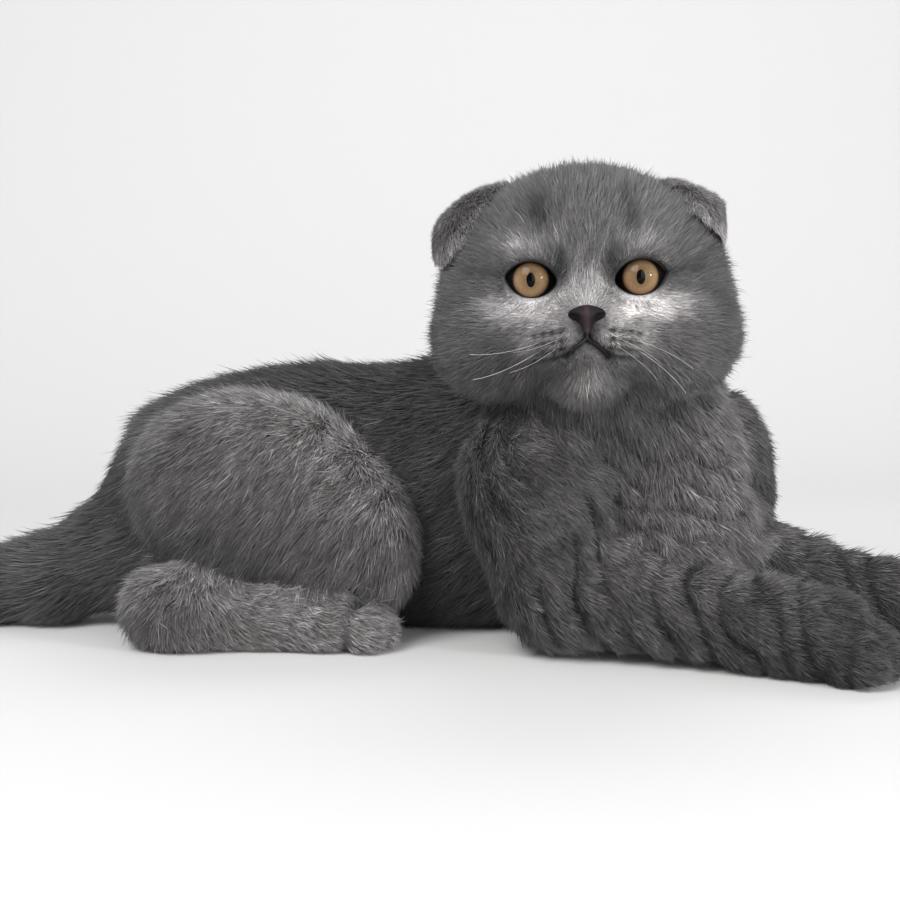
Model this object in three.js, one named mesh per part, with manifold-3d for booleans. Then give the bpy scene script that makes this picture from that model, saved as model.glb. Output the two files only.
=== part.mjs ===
// A Scottish fold kitten, life size, lying on a flat floor: hindquarters to the left, forelegs
// stretched out to the right and a little to the front, and the round head turned to the front.
// Sizes are in millimetres, +X runs from the tail to the forepaws, -Y is the front and +Z is up.
// Each part of the body is a closed solid, with its surface at the outside of the coat.
import * as THREE from "three";
import { mergeVertices } from "three/addons/utils/BufferGeometryUtils.js";
import Module from "manifold-3d";

const wasm = await Module();
wasm.setup();

// Driving sizes
const HEAD_WIDTH = 92; // over the fur of the cheeks
const HEAD_HEIGHT = 71; // crown to chin
const EYE_SPACING = 30.4; // between the two pupils
const EYE_RADIUS = 8.6;
const TORSO_WIDTH = 70;
const BACK_HEIGHT = 90; // floor to withers
const FOREARM_WIDTH = 28;
const PAW_WIDTH = 33;
const HIND_FOOT_WIDTH = 24;
const TAIL_WIDTH = 25;
const FLOOR_SINK = 2.5; // how far a soft mass is flattened where it rests
const GAP = 0.3; // between two parts that touch
const FILLET = 2; // how much of the rounded join goes with a limb

// Places in the body
const HEAD_CENTRE = [39.5, -30, 109];
const PELVIS = [-68, 29, 40];
const LOIN = [-40, 30, 46];
const RIBS = [8, 24, 46];
const CHEST = [54, -3, 50];
const CHEST_FACING = [0.77, -0.64, 0];
const TAIL_ROOT = [-104, 26, 25];

const add = (a, b) => a.map((v, i) => v + b[i]);
const scaled = (a, k) => a.map((v) => v * k);
const dot = (a, b) => a[0] * b[0] + a[1] * b[1] + a[2] * b[2];
const cross = (a, b) => [a[1] * b[2] - a[2] * b[1], a[2] * b[0] - a[0] * b[2], a[0] * b[1] - a[1] * b[0]];
const unit = (a) => scaled(a, 1 / Math.hypot(...a));
const between = (a, b, t) => a.map((v, i) => v + (b[i] - v) * t);
const degrees = THREE.MathUtils.degToRad;

// The head has its own frame: side (to the kitten's left), up and forward.
const HEAD_YAW = degrees(-3.5);
const HEAD_ROLL = degrees(1.6);
const headForward = [Math.sin(HEAD_YAW), -Math.cos(HEAD_YAW), 0];
const headLevelSide = [Math.cos(HEAD_YAW), Math.sin(HEAD_YAW), 0];
const headSide = add(scaled(headLevelSide, Math.cos(HEAD_ROLL)), [0, 0, Math.sin(HEAD_ROLL)]);
const headUp = cross(headForward, headSide);
const HEAD_AXES = [headSide, headUp, headForward];
const onHead = ([side, up, forward]) =>
  HEAD_CENTRE.map((v, i) => v + side * headSide[i] + up * headUp[i] + forward * headForward[i]);

// A shape is a function that gives the distance from a point to its surface, negative inside,
// with the low and high corners of a box that holds it.
function shape(distance, points, reach) {
  distance.low = [0, 1, 2].map((i) => Math.min(...points.map((p) => p[i])) - reach);
  distance.high = [0, 1, 2].map((i) => Math.max(...points.map((p) => p[i])) + reach);
  return distance;
}

// A rounded mass of flesh: an ellipsoid with its radii along three axes.
function ellipsoid(centre, radii, axes) {
  const [cx, cy, cz] = centre;
  const [a, b, c] = axes.map((axis, i) => scaled(axis, 1 / radii[i]));
  const [ra, rb, rc] = radii;
  const distance = (x, y, z) => {
    const [dx, dy, dz] = [x - cx, y - cy, z - cz];
    const u = dx * a[0] + dy * a[1] + dz * a[2];
    const v = dx * b[0] + dy * b[1] + dz * b[2];
    const w = dx * c[0] + dy * c[1] + dz * c[2];
    const size = Math.sqrt(u * u + v * v + w * w);
    const steep = Math.sqrt((u / ra) ** 2 + (v / rb) ** 2 + (w / rc) ** 2);
    return steep < 1e-9 ? -Math.min(ra, rb, rc) : (size * (size - 1)) / steep;
  };
  return shape(distance, [centre], Math.max(...radii));
}

// A mass whose first radius lies along a direction, the second level and the third up.
function mass(centre, radii, along = [1, 0, 0]) {
  const first = unit(along);
  const level = unit(cross([0, 0, 1], first));
  return ellipsoid(centre, radii, [first, level, cross(first, level)]);
}

// A mass of the head, placed and sized by side, up and forward.
const headMass = (centre, radii) => ellipsoid(onHead(centre), radii, HEAD_AXES);

// The same mass on both sides of the head.
const headPair = ([side, up, forward], radii) =>
  [-1, 1].map((s) => headMass([s * side, up, forward], radii));

// A length of limb that tapers between two joints.
function limb(start, end, startRadius, endRadius) {
  const [sx, sy, sz] = start;
  const [rx, ry, rz] = end.map((v, i) => v - start[i]);
  const length2 = rx * rx + ry * ry + rz * rz;
  const distance = (x, y, z) => {
    const [dx, dy, dz] = [x - sx, y - sy, z - sz];
    const t = Math.min(1, Math.max(0, (dx * rx + dy * ry + dz * rz) / length2));
    const off = Math.sqrt((dx - rx * t) ** 2 + (dy - ry * t) ** 2 + (dz - rz * t) ** 2);
    return off - startRadius - (endRadius - startRadius) * t;
  };
  return shape(distance, [start, end], Math.max(startRadius, endRadius));
}

// How far a point is from a shape's box.
function boxDistance({ low, high }, x, y, z) {
  const dx = Math.max(low[0] - x, 0, x - high[0]);
  const dy = Math.max(low[1] - y, 0, y - high[1]);
  const dz = Math.max(low[2] - z, 0, z - high[2]);
  return Math.sqrt(dx * dx + dy * dy + dz * dz);
}

// Shapes melted together, with a rounded join of that width.
function melt(width, ...shapes) {
  const distance = (x, y, z) => {
    let total = shapes[0](x, y, z);
    for (let i = 1; i < shapes.length; i++) {
      if (boxDistance(shapes[i], x, y, z) > total + width) continue;
      const next = shapes[i](x, y, z);
      const near = Math.max(width - Math.abs(total - next), 0) / width;
      total = Math.min(total, next) - (near * near * width) / 4;
    }
    return total;
  };
  return shape(distance, shapes.flatMap((s) => [s.low, s.high]), 0);
}

// The same shape with its surface moved outwards.
function swollen(part, by) {
  return shape((x, y, z) => part(x, y, z) - by, [part.low, part.high], by);
}

// A shape's surface as triangles: a net with one point in each cell that the surface crosses,
// and each point moved onto the surface.
function net(part, cell) {
  const low = part.low.map((v) => v - 2 * cell);
  const count = part.high.map((v, i) => Math.ceil((v + 2 * cell - low[i]) / cell) + 1);
  const steps = [1, count[0], count[0] * count[1]];
  const values = new Float64Array(count[0] * count[1] * count[2]);
  const at = (i, j, k) => i + j * steps[1] + k * steps[2];
  for (let k = 0; k < count[2]; k++)
    for (let j = 0; j < count[1]; j++)
      for (let i = 0; i < count[0]; i++)
        values[at(i, j, k)] = part(low[0] + i * cell, low[1] + j * cell, low[2] + k * cell);
  const corners = [0, 1, 2, 3, 4, 5, 6, 7].map((n) => [n & 1, (n >> 1) & 1, n >> 2]);
  const edges = [];
  for (let a = 0; a < 8; a++) for (const bit of [1, 2, 4]) if (!(a & bit)) edges.push([a, a | bit]);
  const pointOf = new Map();
  const points = [];
  for (let k = 0; k < count[2] - 1; k++)
    for (let j = 0; j < count[1] - 1; j++)
      for (let i = 0; i < count[0] - 1; i++) {
        const here = corners.map((c) => values[at(i + c[0], j + c[1], k + c[2])]);
        const crossed = edges.filter(([a, b]) => here[a] < 0 !== here[b] < 0);
        if (!crossed.length) continue;
        let sum = [0, 0, 0];
        for (const [a, b] of crossed)
          sum = add(sum, between(corners[a], corners[b], here[a] / (here[a] - here[b])));
        const own = scaled(sum, 1 / crossed.length);
        pointOf.set(at(i, j, k), points.length);
        points.push([low[0] + (i + own[0]) * cell, low[1] + (j + own[1]) * cell, low[2] + (k + own[2]) * cell]);
      }
  const settled = points.map((point) => settle(part, point, cell / 3));
  const faces = [];
  for (let k = 1; k < count[2] - 1; k++)
    for (let j = 1; j < count[1] - 1; j++)
      for (let i = 1; i < count[0] - 1; i++)
        for (let axis = 0; axis < 3; axis++) {
          const from = at(i, j, k);
          const inside = values[from] < 0;
          if (inside === values[from + steps[axis]] < 0) continue;
          const u = steps[(axis + 1) % 3];
          const v = steps[(axis + 2) % 3];
          const ring = [from - u - v, from - v, from, from - u].map((n) => pointOf.get(n));
          if (!inside) ring.reverse();
          faces.push(...splitQuad(ring, settled));
        }
  return { points: settled, faces };
}

// A point moved onto the surface, in a few steps of limited length.
function settle(part, point, most) {
  const step = 0.05;
  let here = point;
  for (let n = 0; n < 4; n++) {
    const value = part(...here);
    const slope = [0, 1, 2].map((i) => {
      const beside = [...here];
      beside[i] += step;
      return (part(...beside) - value) / step;
    });
    const steep = Math.max(dot(slope, slope), 0.3);
    const far = Math.max(-most, Math.min(most, value));
    here = here.map((v, i) => v - (far * slope[i]) / steep);
  }
  return here;
}

// A four-sided cell as two triangles, cut along its shorter diagonal.
function splitQuad([a, b, c, d], points) {
  const length = (p, q) => Math.hypot(...points[p].map((v, i) => v - points[q][i]));
  return length(a, c) <= length(b, d) ? [a, b, c, a, c, d] : [b, c, d, b, d, a];
}

// A closed set of triangles as a solid that can be joined and cut.
function solidFrom(vertProperties, triVerts) {
  return new wasm.Manifold(new wasm.Mesh({ numProp: 3, vertProperties, triVerts }));
}

function solid(part, cell) {
  const { points, faces } = net(part, cell);
  return solidFrom(new Float32Array(points.flat()), new Uint32Array(faces));
}

// A cutter in two sizes: one to keep what is inside it, and one larger by the gap, to clear what
// is outside it. The larger one has the same faces, with each point moved out.
function cutter(part, grow, cell) {
  const { points, faces } = net(swollen(part, grow), cell);
  const outwards = points.map(() => [0, 0, 0]);
  for (let f = 0; f < faces.length; f += 3) {
    const corners = faces.slice(f, f + 3);
    const [a, b, c] = corners.map((n) => points[n]);
    const normal = cross(b.map((v, i) => v - a[i]), c.map((v, i) => v - a[i]));
    for (const n of corners) outwards[n] = add(outwards[n], normal);
  }
  const moved = points.map((p, n) => add(p, scaled(unit(outwards[n]), GAP * 1.15)));
  const made = (places) => solidFrom(new Float32Array(places.flat()), new Uint32Array(faces));
  return { keep: made(points), clear: made(moved) };
}

// A three.js geometry as a solid.
function solidOf(geometry) {
  geometry.deleteAttribute("normal");
  geometry.deleteAttribute("uv");
  const merged = mergeVertices(geometry, 1e-4);
  return solidFrom(merged.attributes.position.array, new Uint32Array(merged.index.array));
}

// Whether a solid stays closed, with two faces at each edge, once its nearest points are joined.
const POINT_GRID = 1e-3;
function staysClosed(made) {
  const { vertProperties, triVerts } = made.getMesh();
  const placeOf = (n) =>
    [0, 1, 2].map((i) => Math.round(vertProperties[3 * n + i] / POINT_GRID)).join();
  const facesAt = new Map();
  for (let f = 0; f < triVerts.length; f += 3) {
    const places = [0, 1, 2].map((i) => placeOf(triVerts[f + i]));
    for (let i = 0; i < 3; i++) {
      const edge = [places[i], places[(i + 1) % 3]].sort().join(":");
      facesAt.set(edge, (facesAt.get(edge) ?? 0) + 1);
    }
  }
  return [...facesAt.values()].every((count) => count === 2);
}

// The solid's largest closed surface, without loose scraps.
function largest(made) {
  const bodies = made.decompose();
  return bodies.reduce((a, b) => (b.volume() > a.volume() ? b : a));
}

// Torso: pelvis, loin, ribs and belly in the side view, and a chest turned to the forepaws.
const half = TORSO_WIDTH / 2;
const rump = mass(PELVIS, [38, half, 38]);
const slope = limb([-82, 27, 40], TAIL_ROOT, 34, 20);
const loin = mass(LOIN, [50, half - 1, BACK_HEIGHT - 4 - LOIN[2]]);
const ribs = mass(RIBS, [48, half - 2, BACK_HEIGHT - RIBS[2]], [1, -0.25, 0]);
const belly = mass([-14, 27, 24], [62, half - 1, 24 + FLOOR_SINK]);
const chest = mass(CHEST, [40, half, 45], CHEST_FACING);
const brisket = mass([62, -12, 26], [36, 33, 28], CHEST_FACING);
const torsoShape = melt(14, rump, slope, loin, ribs, belly, chest, brisket);

// Neck: short and as wide as the ruff under the cheeks.
const neckShape = limb([47, -6, 76], [41, -18, 96], 36, 34);

// Tail: a plump taper along the floor, in three lengths.
const TAIL_LINE = [
  TAIL_ROOT,
  [-128, 22, 15],
  [-152, 21, 12],
  [-174, 28, 11],
  [-191, 43, 10],
  [-201, 62, 9],
];
const TAIL_RADII = [20, 15.5, 13.5, 12.8, 12, 10.5].map((r) => (r * TAIL_WIDTH) / 25);
const tailLengths = TAIL_LINE.slice(1).map((end, i) =>
  limb(TAIL_LINE[i], end, TAIL_RADII[i], TAIL_RADII[i + 1]),
);
const tailShape = melt(6, ...tailLengths);

// Hind leg: a deep thigh, the knee in front of it, the hock behind and the foot flat on the floor.
function hindLeg(side, thighY, footY) {
  const thigh = mass([-58, thighY, 44], [43, 24, 34], [1, 0, -0.3]);
  const knee = mass([-31, thighY - side * -7, 30], [22, 19, 26]);
  const hock = mass([-84, footY - side * -2, 13], [17, 13, 15]);
  return { thigh, knee, hock, upper: melt(12, thigh, knee, hock) };
}

// A foot with four toes: the pad and toes lie along a direction, with the toe tips at the front.
function foot(heel, ball, radius, width, reach) {
  const along = unit(ball.map((v, i) => (i < 2 ? v - heel[i] : 0)));
  const across = cross([0, 0, 1], along);
  const toeRadius = width * 0.2;
  const toeHeight = radius * 0.75;
  const toes = [-0.31, -0.115, 0.115, 0.31].map((share, i) => {
    const inner = i === 1 || i === 2;
    const centre = add(add(ball, scaled(along, reach + (inner ? 1.5 : -1.5))), scaled(across, share * width));
    centre[2] = toeHeight * 0.9 - 1.5;
    return mass(centre, [toeRadius * 1.6, toeRadius, toeHeight], along);
  });
  const pad = mass(ball, [width * 0.45, width * 0.47, radius], along);
  return { shank: limb(heel, ball, radius, radius * 0.95), pad, toes: melt(1.2, ...toes) };
}

const SIDES = { right: -1, left: 1 };
const THIGH_Y = { right: -2, left: 59 };
const HIND_FOOT_Y = { right: -17, left: 70 };
const hindFeet = {};
const hindLegs = {};
for (const [name, side] of Object.entries(SIDES)) {
  const footY = HIND_FOOT_Y[name];
  const parts = foot([-82, footY, 10], [-39, footY + side * 1.5, 9.5], 12, HIND_FOOT_WIDTH, 14);
  hindFeet[name] = melt(2, melt(5, parts.shank, parts.pad), parts.toes);
  hindLegs[name] = hindLeg(side, THIGH_Y[name], footY).upper;
}

// Foreleg: shoulder and elbow at the chest, the forearm along the floor, then the paw.
const FORELEGS = {
  right: {
    shoulder: [28, -24, 52],
    elbow: [34, -27, 23],
    wrist: [93, -52, 14],
    paw: [107, -57, 12],
  },
  left: {
    shoulder: [78, 12, 52],
    elbow: [84, 2, 23],
    wrist: [134, -21, 14],
    paw: [148, -27, 12],
  },
};
const forearms = {};
const upperArms = {};
const forePaws = {};
for (const [name, at] of Object.entries(FORELEGS)) {
  const thick = FOREARM_WIDTH / 2;
  upperArms[name] = melt(10, mass(at.shoulder, [25, 22, 30]), limb(at.shoulder, at.elbow, 22, 21));
  forearms[name] = limb(at.elbow, at.wrist, thick + 6, thick - 0.5);
  const parts = foot(at.wrist, at.paw, thick - 0.5, PAW_WIDTH, 11);
  forePaws[name] = melt(2.5, melt(6, parts.shank, parts.pad), parts.toes);
}

// Head: skull, brow and forehead, the fur of the cheeks, the muzzle and a small chin.
const eyeSide = EYE_SPACING / 2;
const EYE_UP = 4.4;
const EYE_FORWARD = 20.6;
const cheekSide = 0.56 * HEAD_WIDTH - 26;
const headTop = HEAD_HEIGHT / 2;
const skull = headMass([0, 1.5, -4], [HEAD_WIDTH / 2 - 2.5, headTop - 2, 38]);
const forehead = headMass([0, 13, 8], [30, 23, 21]);
const cheeks = headPair([cheekSide, -13.5, 3], [20, 18, 24]);
const cheekFronts = headPair([19, -11, 16], [15, 13, 14.5]);
const brows = headPair([14, EYE_UP + 10.5, 16.5], [13, 6.5, 10.5]);
const muzzlePads = headPair([8, EYE_UP - 17, 29], [10, 8.2, 9.8]);
const noseBridge = limb(onHead([0, EYE_UP + 4, 20]), onHead([0, EYE_UP - 8.5, 33.2]), 9, 5.6);
const chin = headMass([0, -23, 22.5], [11.5, 10.5, 13]);
const lidMound = [EYE_RADIUS + 1.5, EYE_RADIUS + 0.9, EYE_RADIUS + 1.1];
const lidMounds = headPair([eyeSide, EYE_UP, EYE_FORWARD], lidMound);
const headShape = melt(
  5,
  melt(9, skull, forehead, ...cheeks, ...cheekFronts, chin),
  ...brows,
  melt(4, ...muzzlePads, noseBridge),
  melt(3, ...lidMounds),
);

// Nose leather: a small rounded triangle with its point to the lips and two nostrils.
const noseShape = melt(
  1.5,
  headMass([0, EYE_UP - 9.6, 37.2], [5.2, 2.3, 3]),
  limb(onHead([0, EYE_UP - 10, 37.6]), onHead([0, EYE_UP - 13.8, 37.4]), 2.5, 1.3),
);

// Ears: each is a thin sheet that rises behind, folds over a ridge and hangs forward over its cup.
const EAR_THICKNESS = 2.8;
const EAR_STEPS = 10;
const FOLD_AT = 0.45; // where the ridge lies between the root and the free edge
const EAR_ROOT = [[17, 27, 5], [24, 22, -9], [33, 13, -15], [40, 4, -9]];
const EARS = {
  right: {
    ridge: [[21, 31.5, 4], [31.5, 29, -1], [40, 23, -4], [43.5, 15.5, -6]],
    edge: [[22, 28, 9], [29, 22.5, 12.5], [39.8, 11, 10], [44, 11, -1]],
  },
  left: {
    ridge: [[22.5, 31, 4], [30, 29.5, -1], [37, 26, -3], [41, 21.5, -5]],
    edge: [[21.5, 27, 9], [30, 23.5, 11], [39.5, 17.5, 8], [42, 14, -1]],
  },
};
function ear(side, { ridge, edge }) {
  const lineOf = (points) => curve(points.map(([s, u, f]) => onHead([side * s, u, f])));
  const lines = [EAR_ROOT, ridge, edge].map(lineOf);
  return sheet((across, along) => {
    const [low, middle, high] = lines.map((line) => line(across));
    const toLow = ((FOLD_AT - along) * (1 - along)) / FOLD_AT;
    const toMiddle = (along * (1 - along)) / (FOLD_AT * (1 - FOLD_AT));
    const toHigh = (along * (along - FOLD_AT)) / (1 - FOLD_AT);
    return low.map((v, i) => v * toLow + middle[i] * toMiddle + high[i] * toHigh);
  }, EAR_THICKNESS);
}

// A smooth line through some points, from 0 to 1.
function curve(points) {
  const line = new THREE.CatmullRomCurve3(points.map((p) => new THREE.Vector3(...p)), false, "centripetal");
  return (t) => line.getPoint(t).toArray();
}

// A sheet of even thickness: both of its faces and the rim between them, as one closed solid.
function sheet(pointAt, thickness) {
  const row = EAR_STEPS + 1;
  const step = 0.04;
  const points = [];
  for (const side of [0.5, -0.5])
    for (let i = 0; i < row; i++)
      for (let j = 0; j < row; j++) {
        const [u, v] = [i / EAR_STEPS, j / EAR_STEPS];
        const middle = Math.min(Math.max(u, step), 1 - step);
        const across = add(pointAt(middle + step, v), scaled(pointAt(middle - step, v), -1));
        const along = add(pointAt(u, v + step), scaled(pointAt(u, v - step), -1));
        const normal = unit(cross(across, along));
        points.push(add(pointAt(u, v), scaled(normal, side * thickness)));
      }
  const back = row * row;
  const faces = [];
  const quad = (a, b, c, d) => faces.push(a, b, c, a, c, d);
  for (let i = 0; i < EAR_STEPS; i++)
    for (let j = 0; j < EAR_STEPS; j++) {
      const a = i * row + j;
      quad(a, a + row, a + row + 1, a + 1);
      quad(back + a, back + a + 1, back + a + row + 1, back + a + row);
    }
  for (let n = 0; n < EAR_STEPS; n++) {
    const far = EAR_STEPS * row;
    quad(n, n + 1, back + n + 1, back + n);
    quad(far + n + 1, far + n, back + far + n, back + far + n + 1);
    quad((n + 1) * row, n * row, back + n * row, back + (n + 1) * row);
    const end = n * row + EAR_STEPS;
    quad(end, end + row, back + end + row, back + end);
  }
  return solidFrom(new Float32Array(points.flat()), new Uint32Array(faces));
}

// The whole body in one smooth surface, from which the parts are cut.
const bodyShape = melt(
  7,
  torsoShape,
  neckShape,
  tailShape,
  ...Object.values(hindLegs),
  ...Object.values(hindFeet),
  ...Object.values(upperArms),
  ...Object.values(forearms),
  ...Object.values(forePaws),
);
const wholeShape = melt(4, bodyShape, headShape);

// What of the whole lies near one part of the body, and above the floor.
const FLOOR_SIZE = 600;
const aboveFloor = solidOf(
  new THREE.BoxGeometry(FLOOR_SIZE, FLOOR_SIZE, FLOOR_SIZE).translate(0, 0, FLOOR_SIZE / 2),
);
function wholeWithin(part, cell, reach = FILLET + 3) {
  const low = part.low.map((v) => v - reach);
  const high = part.high.map((v) => v + reach);
  const room = (x, y, z) =>
    Math.max(low[0] - x, x - high[0], low[1] - y, y - high[1], low[2] - z, z - high[2]);
  const near = (x, y, z) => Math.max(wholeShape(x, y, z), room(x, y, z));
  return solid(shape(near, [low, high], 0), cell).intersect(aboveFloor);
}

// Cuts the parts in order. Each takes what is near its own shape, and leaves a thin gap to the next.
const SIZES = {
  torso: { cell: 11 },
  limb: { cell: 8.5, cutter: 11, grow: 6 },
  tail: { cell: 7.5, cutter: 10, grow: 5 },
  paw: { cell: 4.6, cutter: 8, grow: 4 },
  head: { cell: 4.4, cutter: 9, grow: 6 },
};
const NOSE_CELL = 1.6;
const SMOOTHING = 0.2; // how far a face may move where small triangles are joined
function tidied(made) {
  for (let most = SMOOTHING; most < 2 * SMOOTHING; most *= 1.07) {
    const left = largest(largest(made).asOriginal().simplify(most));
    if (staysClosed(left)) return left;
  }
  throw new Error("a solid has edges that fall together");
}
const taken = [];
const solids = {};
const clearOf = (made, others) => others.reduce((left, other) => left.subtract(other), made);
function take(name, part, size, cutters = []) {
  const { cell, grow } = SIZES[size];
  const region = cutter(part, grow, SIZES[size].cutter);
  const cut = wholeWithin(part, cell, grow + 3).intersect(region.keep);
  solids[name] = tidied(clearOf(cut, [...taken, ...cutters]));
  taken.push(region.clear);
}

// Eyes: round, with a lid opening that is pointed at both corners.
const LID_OPENING = { width: 13.8, height: 10.6, innerDrop: 1.2 };
const openings = [];
for (const [name, side] of Object.entries(SIDES)) {
  const centre = onHead([side * eyeSide, EYE_UP, EYE_FORWARD]);
  const ball = (radius) => solidOf(new THREE.SphereGeometry(radius, 16, 10).translate(...centre));
  solids[`eye_${name}`] = ball(EYE_RADIUS);
  openings.push(ball(EYE_RADIUS + GAP), lidOpening(side));
}
function lidOpening(side) {
  const { width, height, innerDrop } = LID_OPENING;
  const inner = [-side * width * 0.5, -innerDrop];
  const outer = [side * width * 0.5, 0.6];
  const outline = new THREE.Shape();
  outline.moveTo(...inner);
  outline.bezierCurveTo(inner[0] * 0.62, height * 0.62, outer[0] * 0.6, height * 0.72, ...outer);
  outline.bezierCurveTo(outer[0] * 0.66, -height * 0.62, inner[0] * 0.5, -height * 0.74, ...inner);
  const prism = new THREE.ExtrudeGeometry(outline, { depth: 24, bevelEnabled: false, curveSegments: 5 });
  const frame = new THREE.Matrix4().makeBasis(...HEAD_AXES.map((axis) => new THREE.Vector3(...axis)));
  frame.setPosition(...onHead([side * eyeSide, EYE_UP, EYE_FORWARD + 4.6]));
  return solidOf(prism.applyMatrix4(frame));
}

// Nose leather, with its nostrils opening to the sides.
const nostrils = [-1, 1].map((side) => {
  const mouthOf = onHead([side * 2.9, EYE_UP - 10.4, 41.5]);
  return groove([mouthOf, onHead([side * 3.4, EYE_UP - 10, 37.5])], 0.9);
});
const noseGrown = solid(swollen(noseShape, GAP), NOSE_CELL);
solids.nose = largest(clearOf(solid(noseShape, NOSE_CELL), nostrils));
function groove(points, radius) {
  const ball = (at) => wasm.Manifold.sphere(radius, 8).translate(at);
  const lengths = points.slice(1).map((end, i) => wasm.Manifold.hull([ball(points[i]), ball(end)]));
  return wasm.Manifold.union(lengths);
}

// Mouth: a groove below the nose that parts to both sides over the chin.
const MOUTH_LINE = [[0, -10.4], [0, -13.8], [2.3, -15.9], [4.8, -17.6], [7.4, -20]];
const MOUTH_RADIUS = 0.95;
function faceAt([side, up]) {
  let outside = 60;
  let inside = 0;
  while (outside - inside > 0.05) {
    const middle = (outside + inside) / 2;
    if (headShape(...onHead([side, up, middle])) > 0) outside = middle;
    else inside = middle;
  }
  return onHead([side, up, outside]);
}
const mouth = [-1, 1].map((side) =>
  groove(MOUTH_LINE.map(([across, up]) => faceAt([side * across, up])), MOUTH_RADIUS),
);

const headGrown = solid(swollen(headShape, GAP * 2), SIZES.head.cell);
take("head", headShape, "head", [...openings, noseGrown, ...mouth]);
for (const name of ["right", "left"]) {
  solids[`ear_${name}`] = tidied(ear(SIDES[name], EARS[name]).subtract(headGrown));
}
for (const name of ["right", "left"]) {
  take(`forepaw_${name}`, forePaws[name], "paw");
  take(`foreleg_${name}`, melt(6, forearms[name], upperArms[name]), "limb");
  take(`hind_foot_${name}`, hindFeet[name], "paw");
  take(`thigh_${name}`, hindLegs[name], "limb");
}
take("tail_tip", melt(3, ...tailLengths.slice(2)), "tail");
take("tail_base", melt(3, ...tailLengths.slice(0, 2)), "tail");
take("neck", neckShape, "limb");
solids.torso = tidied(clearOf(wholeWithin(wholeShape, SIZES.torso.cell, 3), taken));

// Colours of the coat, the eyes and the nose leather
const FUR = new THREE.MeshStandardMaterial({ color: 0x6f6d6f, roughness: 0.9, metalness: 0 });
const EYE = new THREE.MeshStandardMaterial({ color: 0xb07d45, roughness: 0.15, metalness: 0 });
const LEATHER = new THREE.MeshStandardMaterial({ color: 0x3a3236, roughness: 0.6, metalness: 0 });
const materialOf = (name) => (name.startsWith("eye_") ? EYE : name === "nose" ? LEATHER : FUR);

// The meshes, moved so that the origin is under the middle of the body's box, on the floor.
const kitten = new THREE.Group();
for (const [name, made] of Object.entries(solids)) {
  const { vertProperties, triVerts, numProp } = made.getMesh();
  const geometry = new THREE.BufferGeometry();
  const places = vertProperties.filter((_, i) => i % numProp < 3);
  geometry.setAttribute("position", new THREE.BufferAttribute(places, 3));
  geometry.setIndex(new THREE.BufferAttribute(triVerts, 1));
  const mesh = new THREE.Mesh(geometry, materialOf(name));
  mesh.name = name;
  kitten.add(mesh);
}
const box = new THREE.Box3().setFromObject(kitten);
const middle = box.getCenter(new THREE.Vector3());
for (const mesh of kitten.children) mesh.position.set(-middle.x, -middle.y, -box.min.z);

export default kitten;
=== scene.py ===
# A grey Scottish fold kitten, life size, lying with its forelegs stretched out to the right and
# its round head turned to the front. The pieces are the skin, its coat of tufts, eyes, lids,
# nose leather, lips and whiskers. Lengths are in millimetres until a mesh is made, and in metres
# for the whiskers' thickness and size, the lights and the camera.
import math
import bpy
import numpy as np
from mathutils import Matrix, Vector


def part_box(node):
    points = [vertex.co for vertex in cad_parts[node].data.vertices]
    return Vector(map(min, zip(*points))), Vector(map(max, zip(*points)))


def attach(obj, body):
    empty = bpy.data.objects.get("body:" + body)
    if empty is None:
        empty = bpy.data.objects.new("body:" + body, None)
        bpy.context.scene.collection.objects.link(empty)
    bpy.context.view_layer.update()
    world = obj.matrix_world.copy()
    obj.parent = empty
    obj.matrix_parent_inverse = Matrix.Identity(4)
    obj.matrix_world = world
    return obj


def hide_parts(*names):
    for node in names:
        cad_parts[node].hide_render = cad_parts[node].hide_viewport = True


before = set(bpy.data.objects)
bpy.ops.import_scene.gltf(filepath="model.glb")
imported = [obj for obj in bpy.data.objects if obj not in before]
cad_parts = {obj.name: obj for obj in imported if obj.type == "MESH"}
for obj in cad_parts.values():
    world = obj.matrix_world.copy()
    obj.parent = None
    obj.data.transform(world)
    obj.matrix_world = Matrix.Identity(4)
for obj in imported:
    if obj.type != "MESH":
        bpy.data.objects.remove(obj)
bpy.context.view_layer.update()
FLESH = [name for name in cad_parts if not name.startswith("eye_") and name != "nose"]


# Place of the head
# The two eyes of the frame give where the head is. Its own axes are side (to the kitten's left),
# up and forward, and every mass of the body is placed from the point between the eyes.
def middle_of(node):
    low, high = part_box(node)
    return np.array((low + high) / 2) * 1000


eye_centres = {side: middle_of("eye_" + side) for side in ("right", "left")}
EYE_RADIUS = (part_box("eye_right")[1].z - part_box("eye_right")[0].z) * 500
between_eyes = (eye_centres["right"] + eye_centres["left"]) / 2
side_axis = eye_centres["left"] - eye_centres["right"]
EYE_SPACING = float(np.linalg.norm(side_axis))
side_axis = side_axis / EYE_SPACING
forward_axis = np.cross(side_axis, (0, 0, 1))
forward_axis = forward_axis / np.linalg.norm(forward_axis)
up_axis = np.cross(forward_axis, side_axis)
HEAD_AXES = np.array([side_axis, up_axis, forward_axis])
EYE_UP = 4.4
EYE_FORWARD = 20.6
head_centre = between_eyes - up_axis * EYE_UP - forward_axis * EYE_FORWARD
# The masses are drawn for a head at this place, and the shift takes them to the frame's own.
HEAD_OVER_BODY = (39.5, -30, 109)
shift = head_centre - np.array(HEAD_OVER_BODY)


def on_head(side, up, forward):
    return head_centre + np.array((side, up, forward)) @ HEAD_AXES


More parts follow.
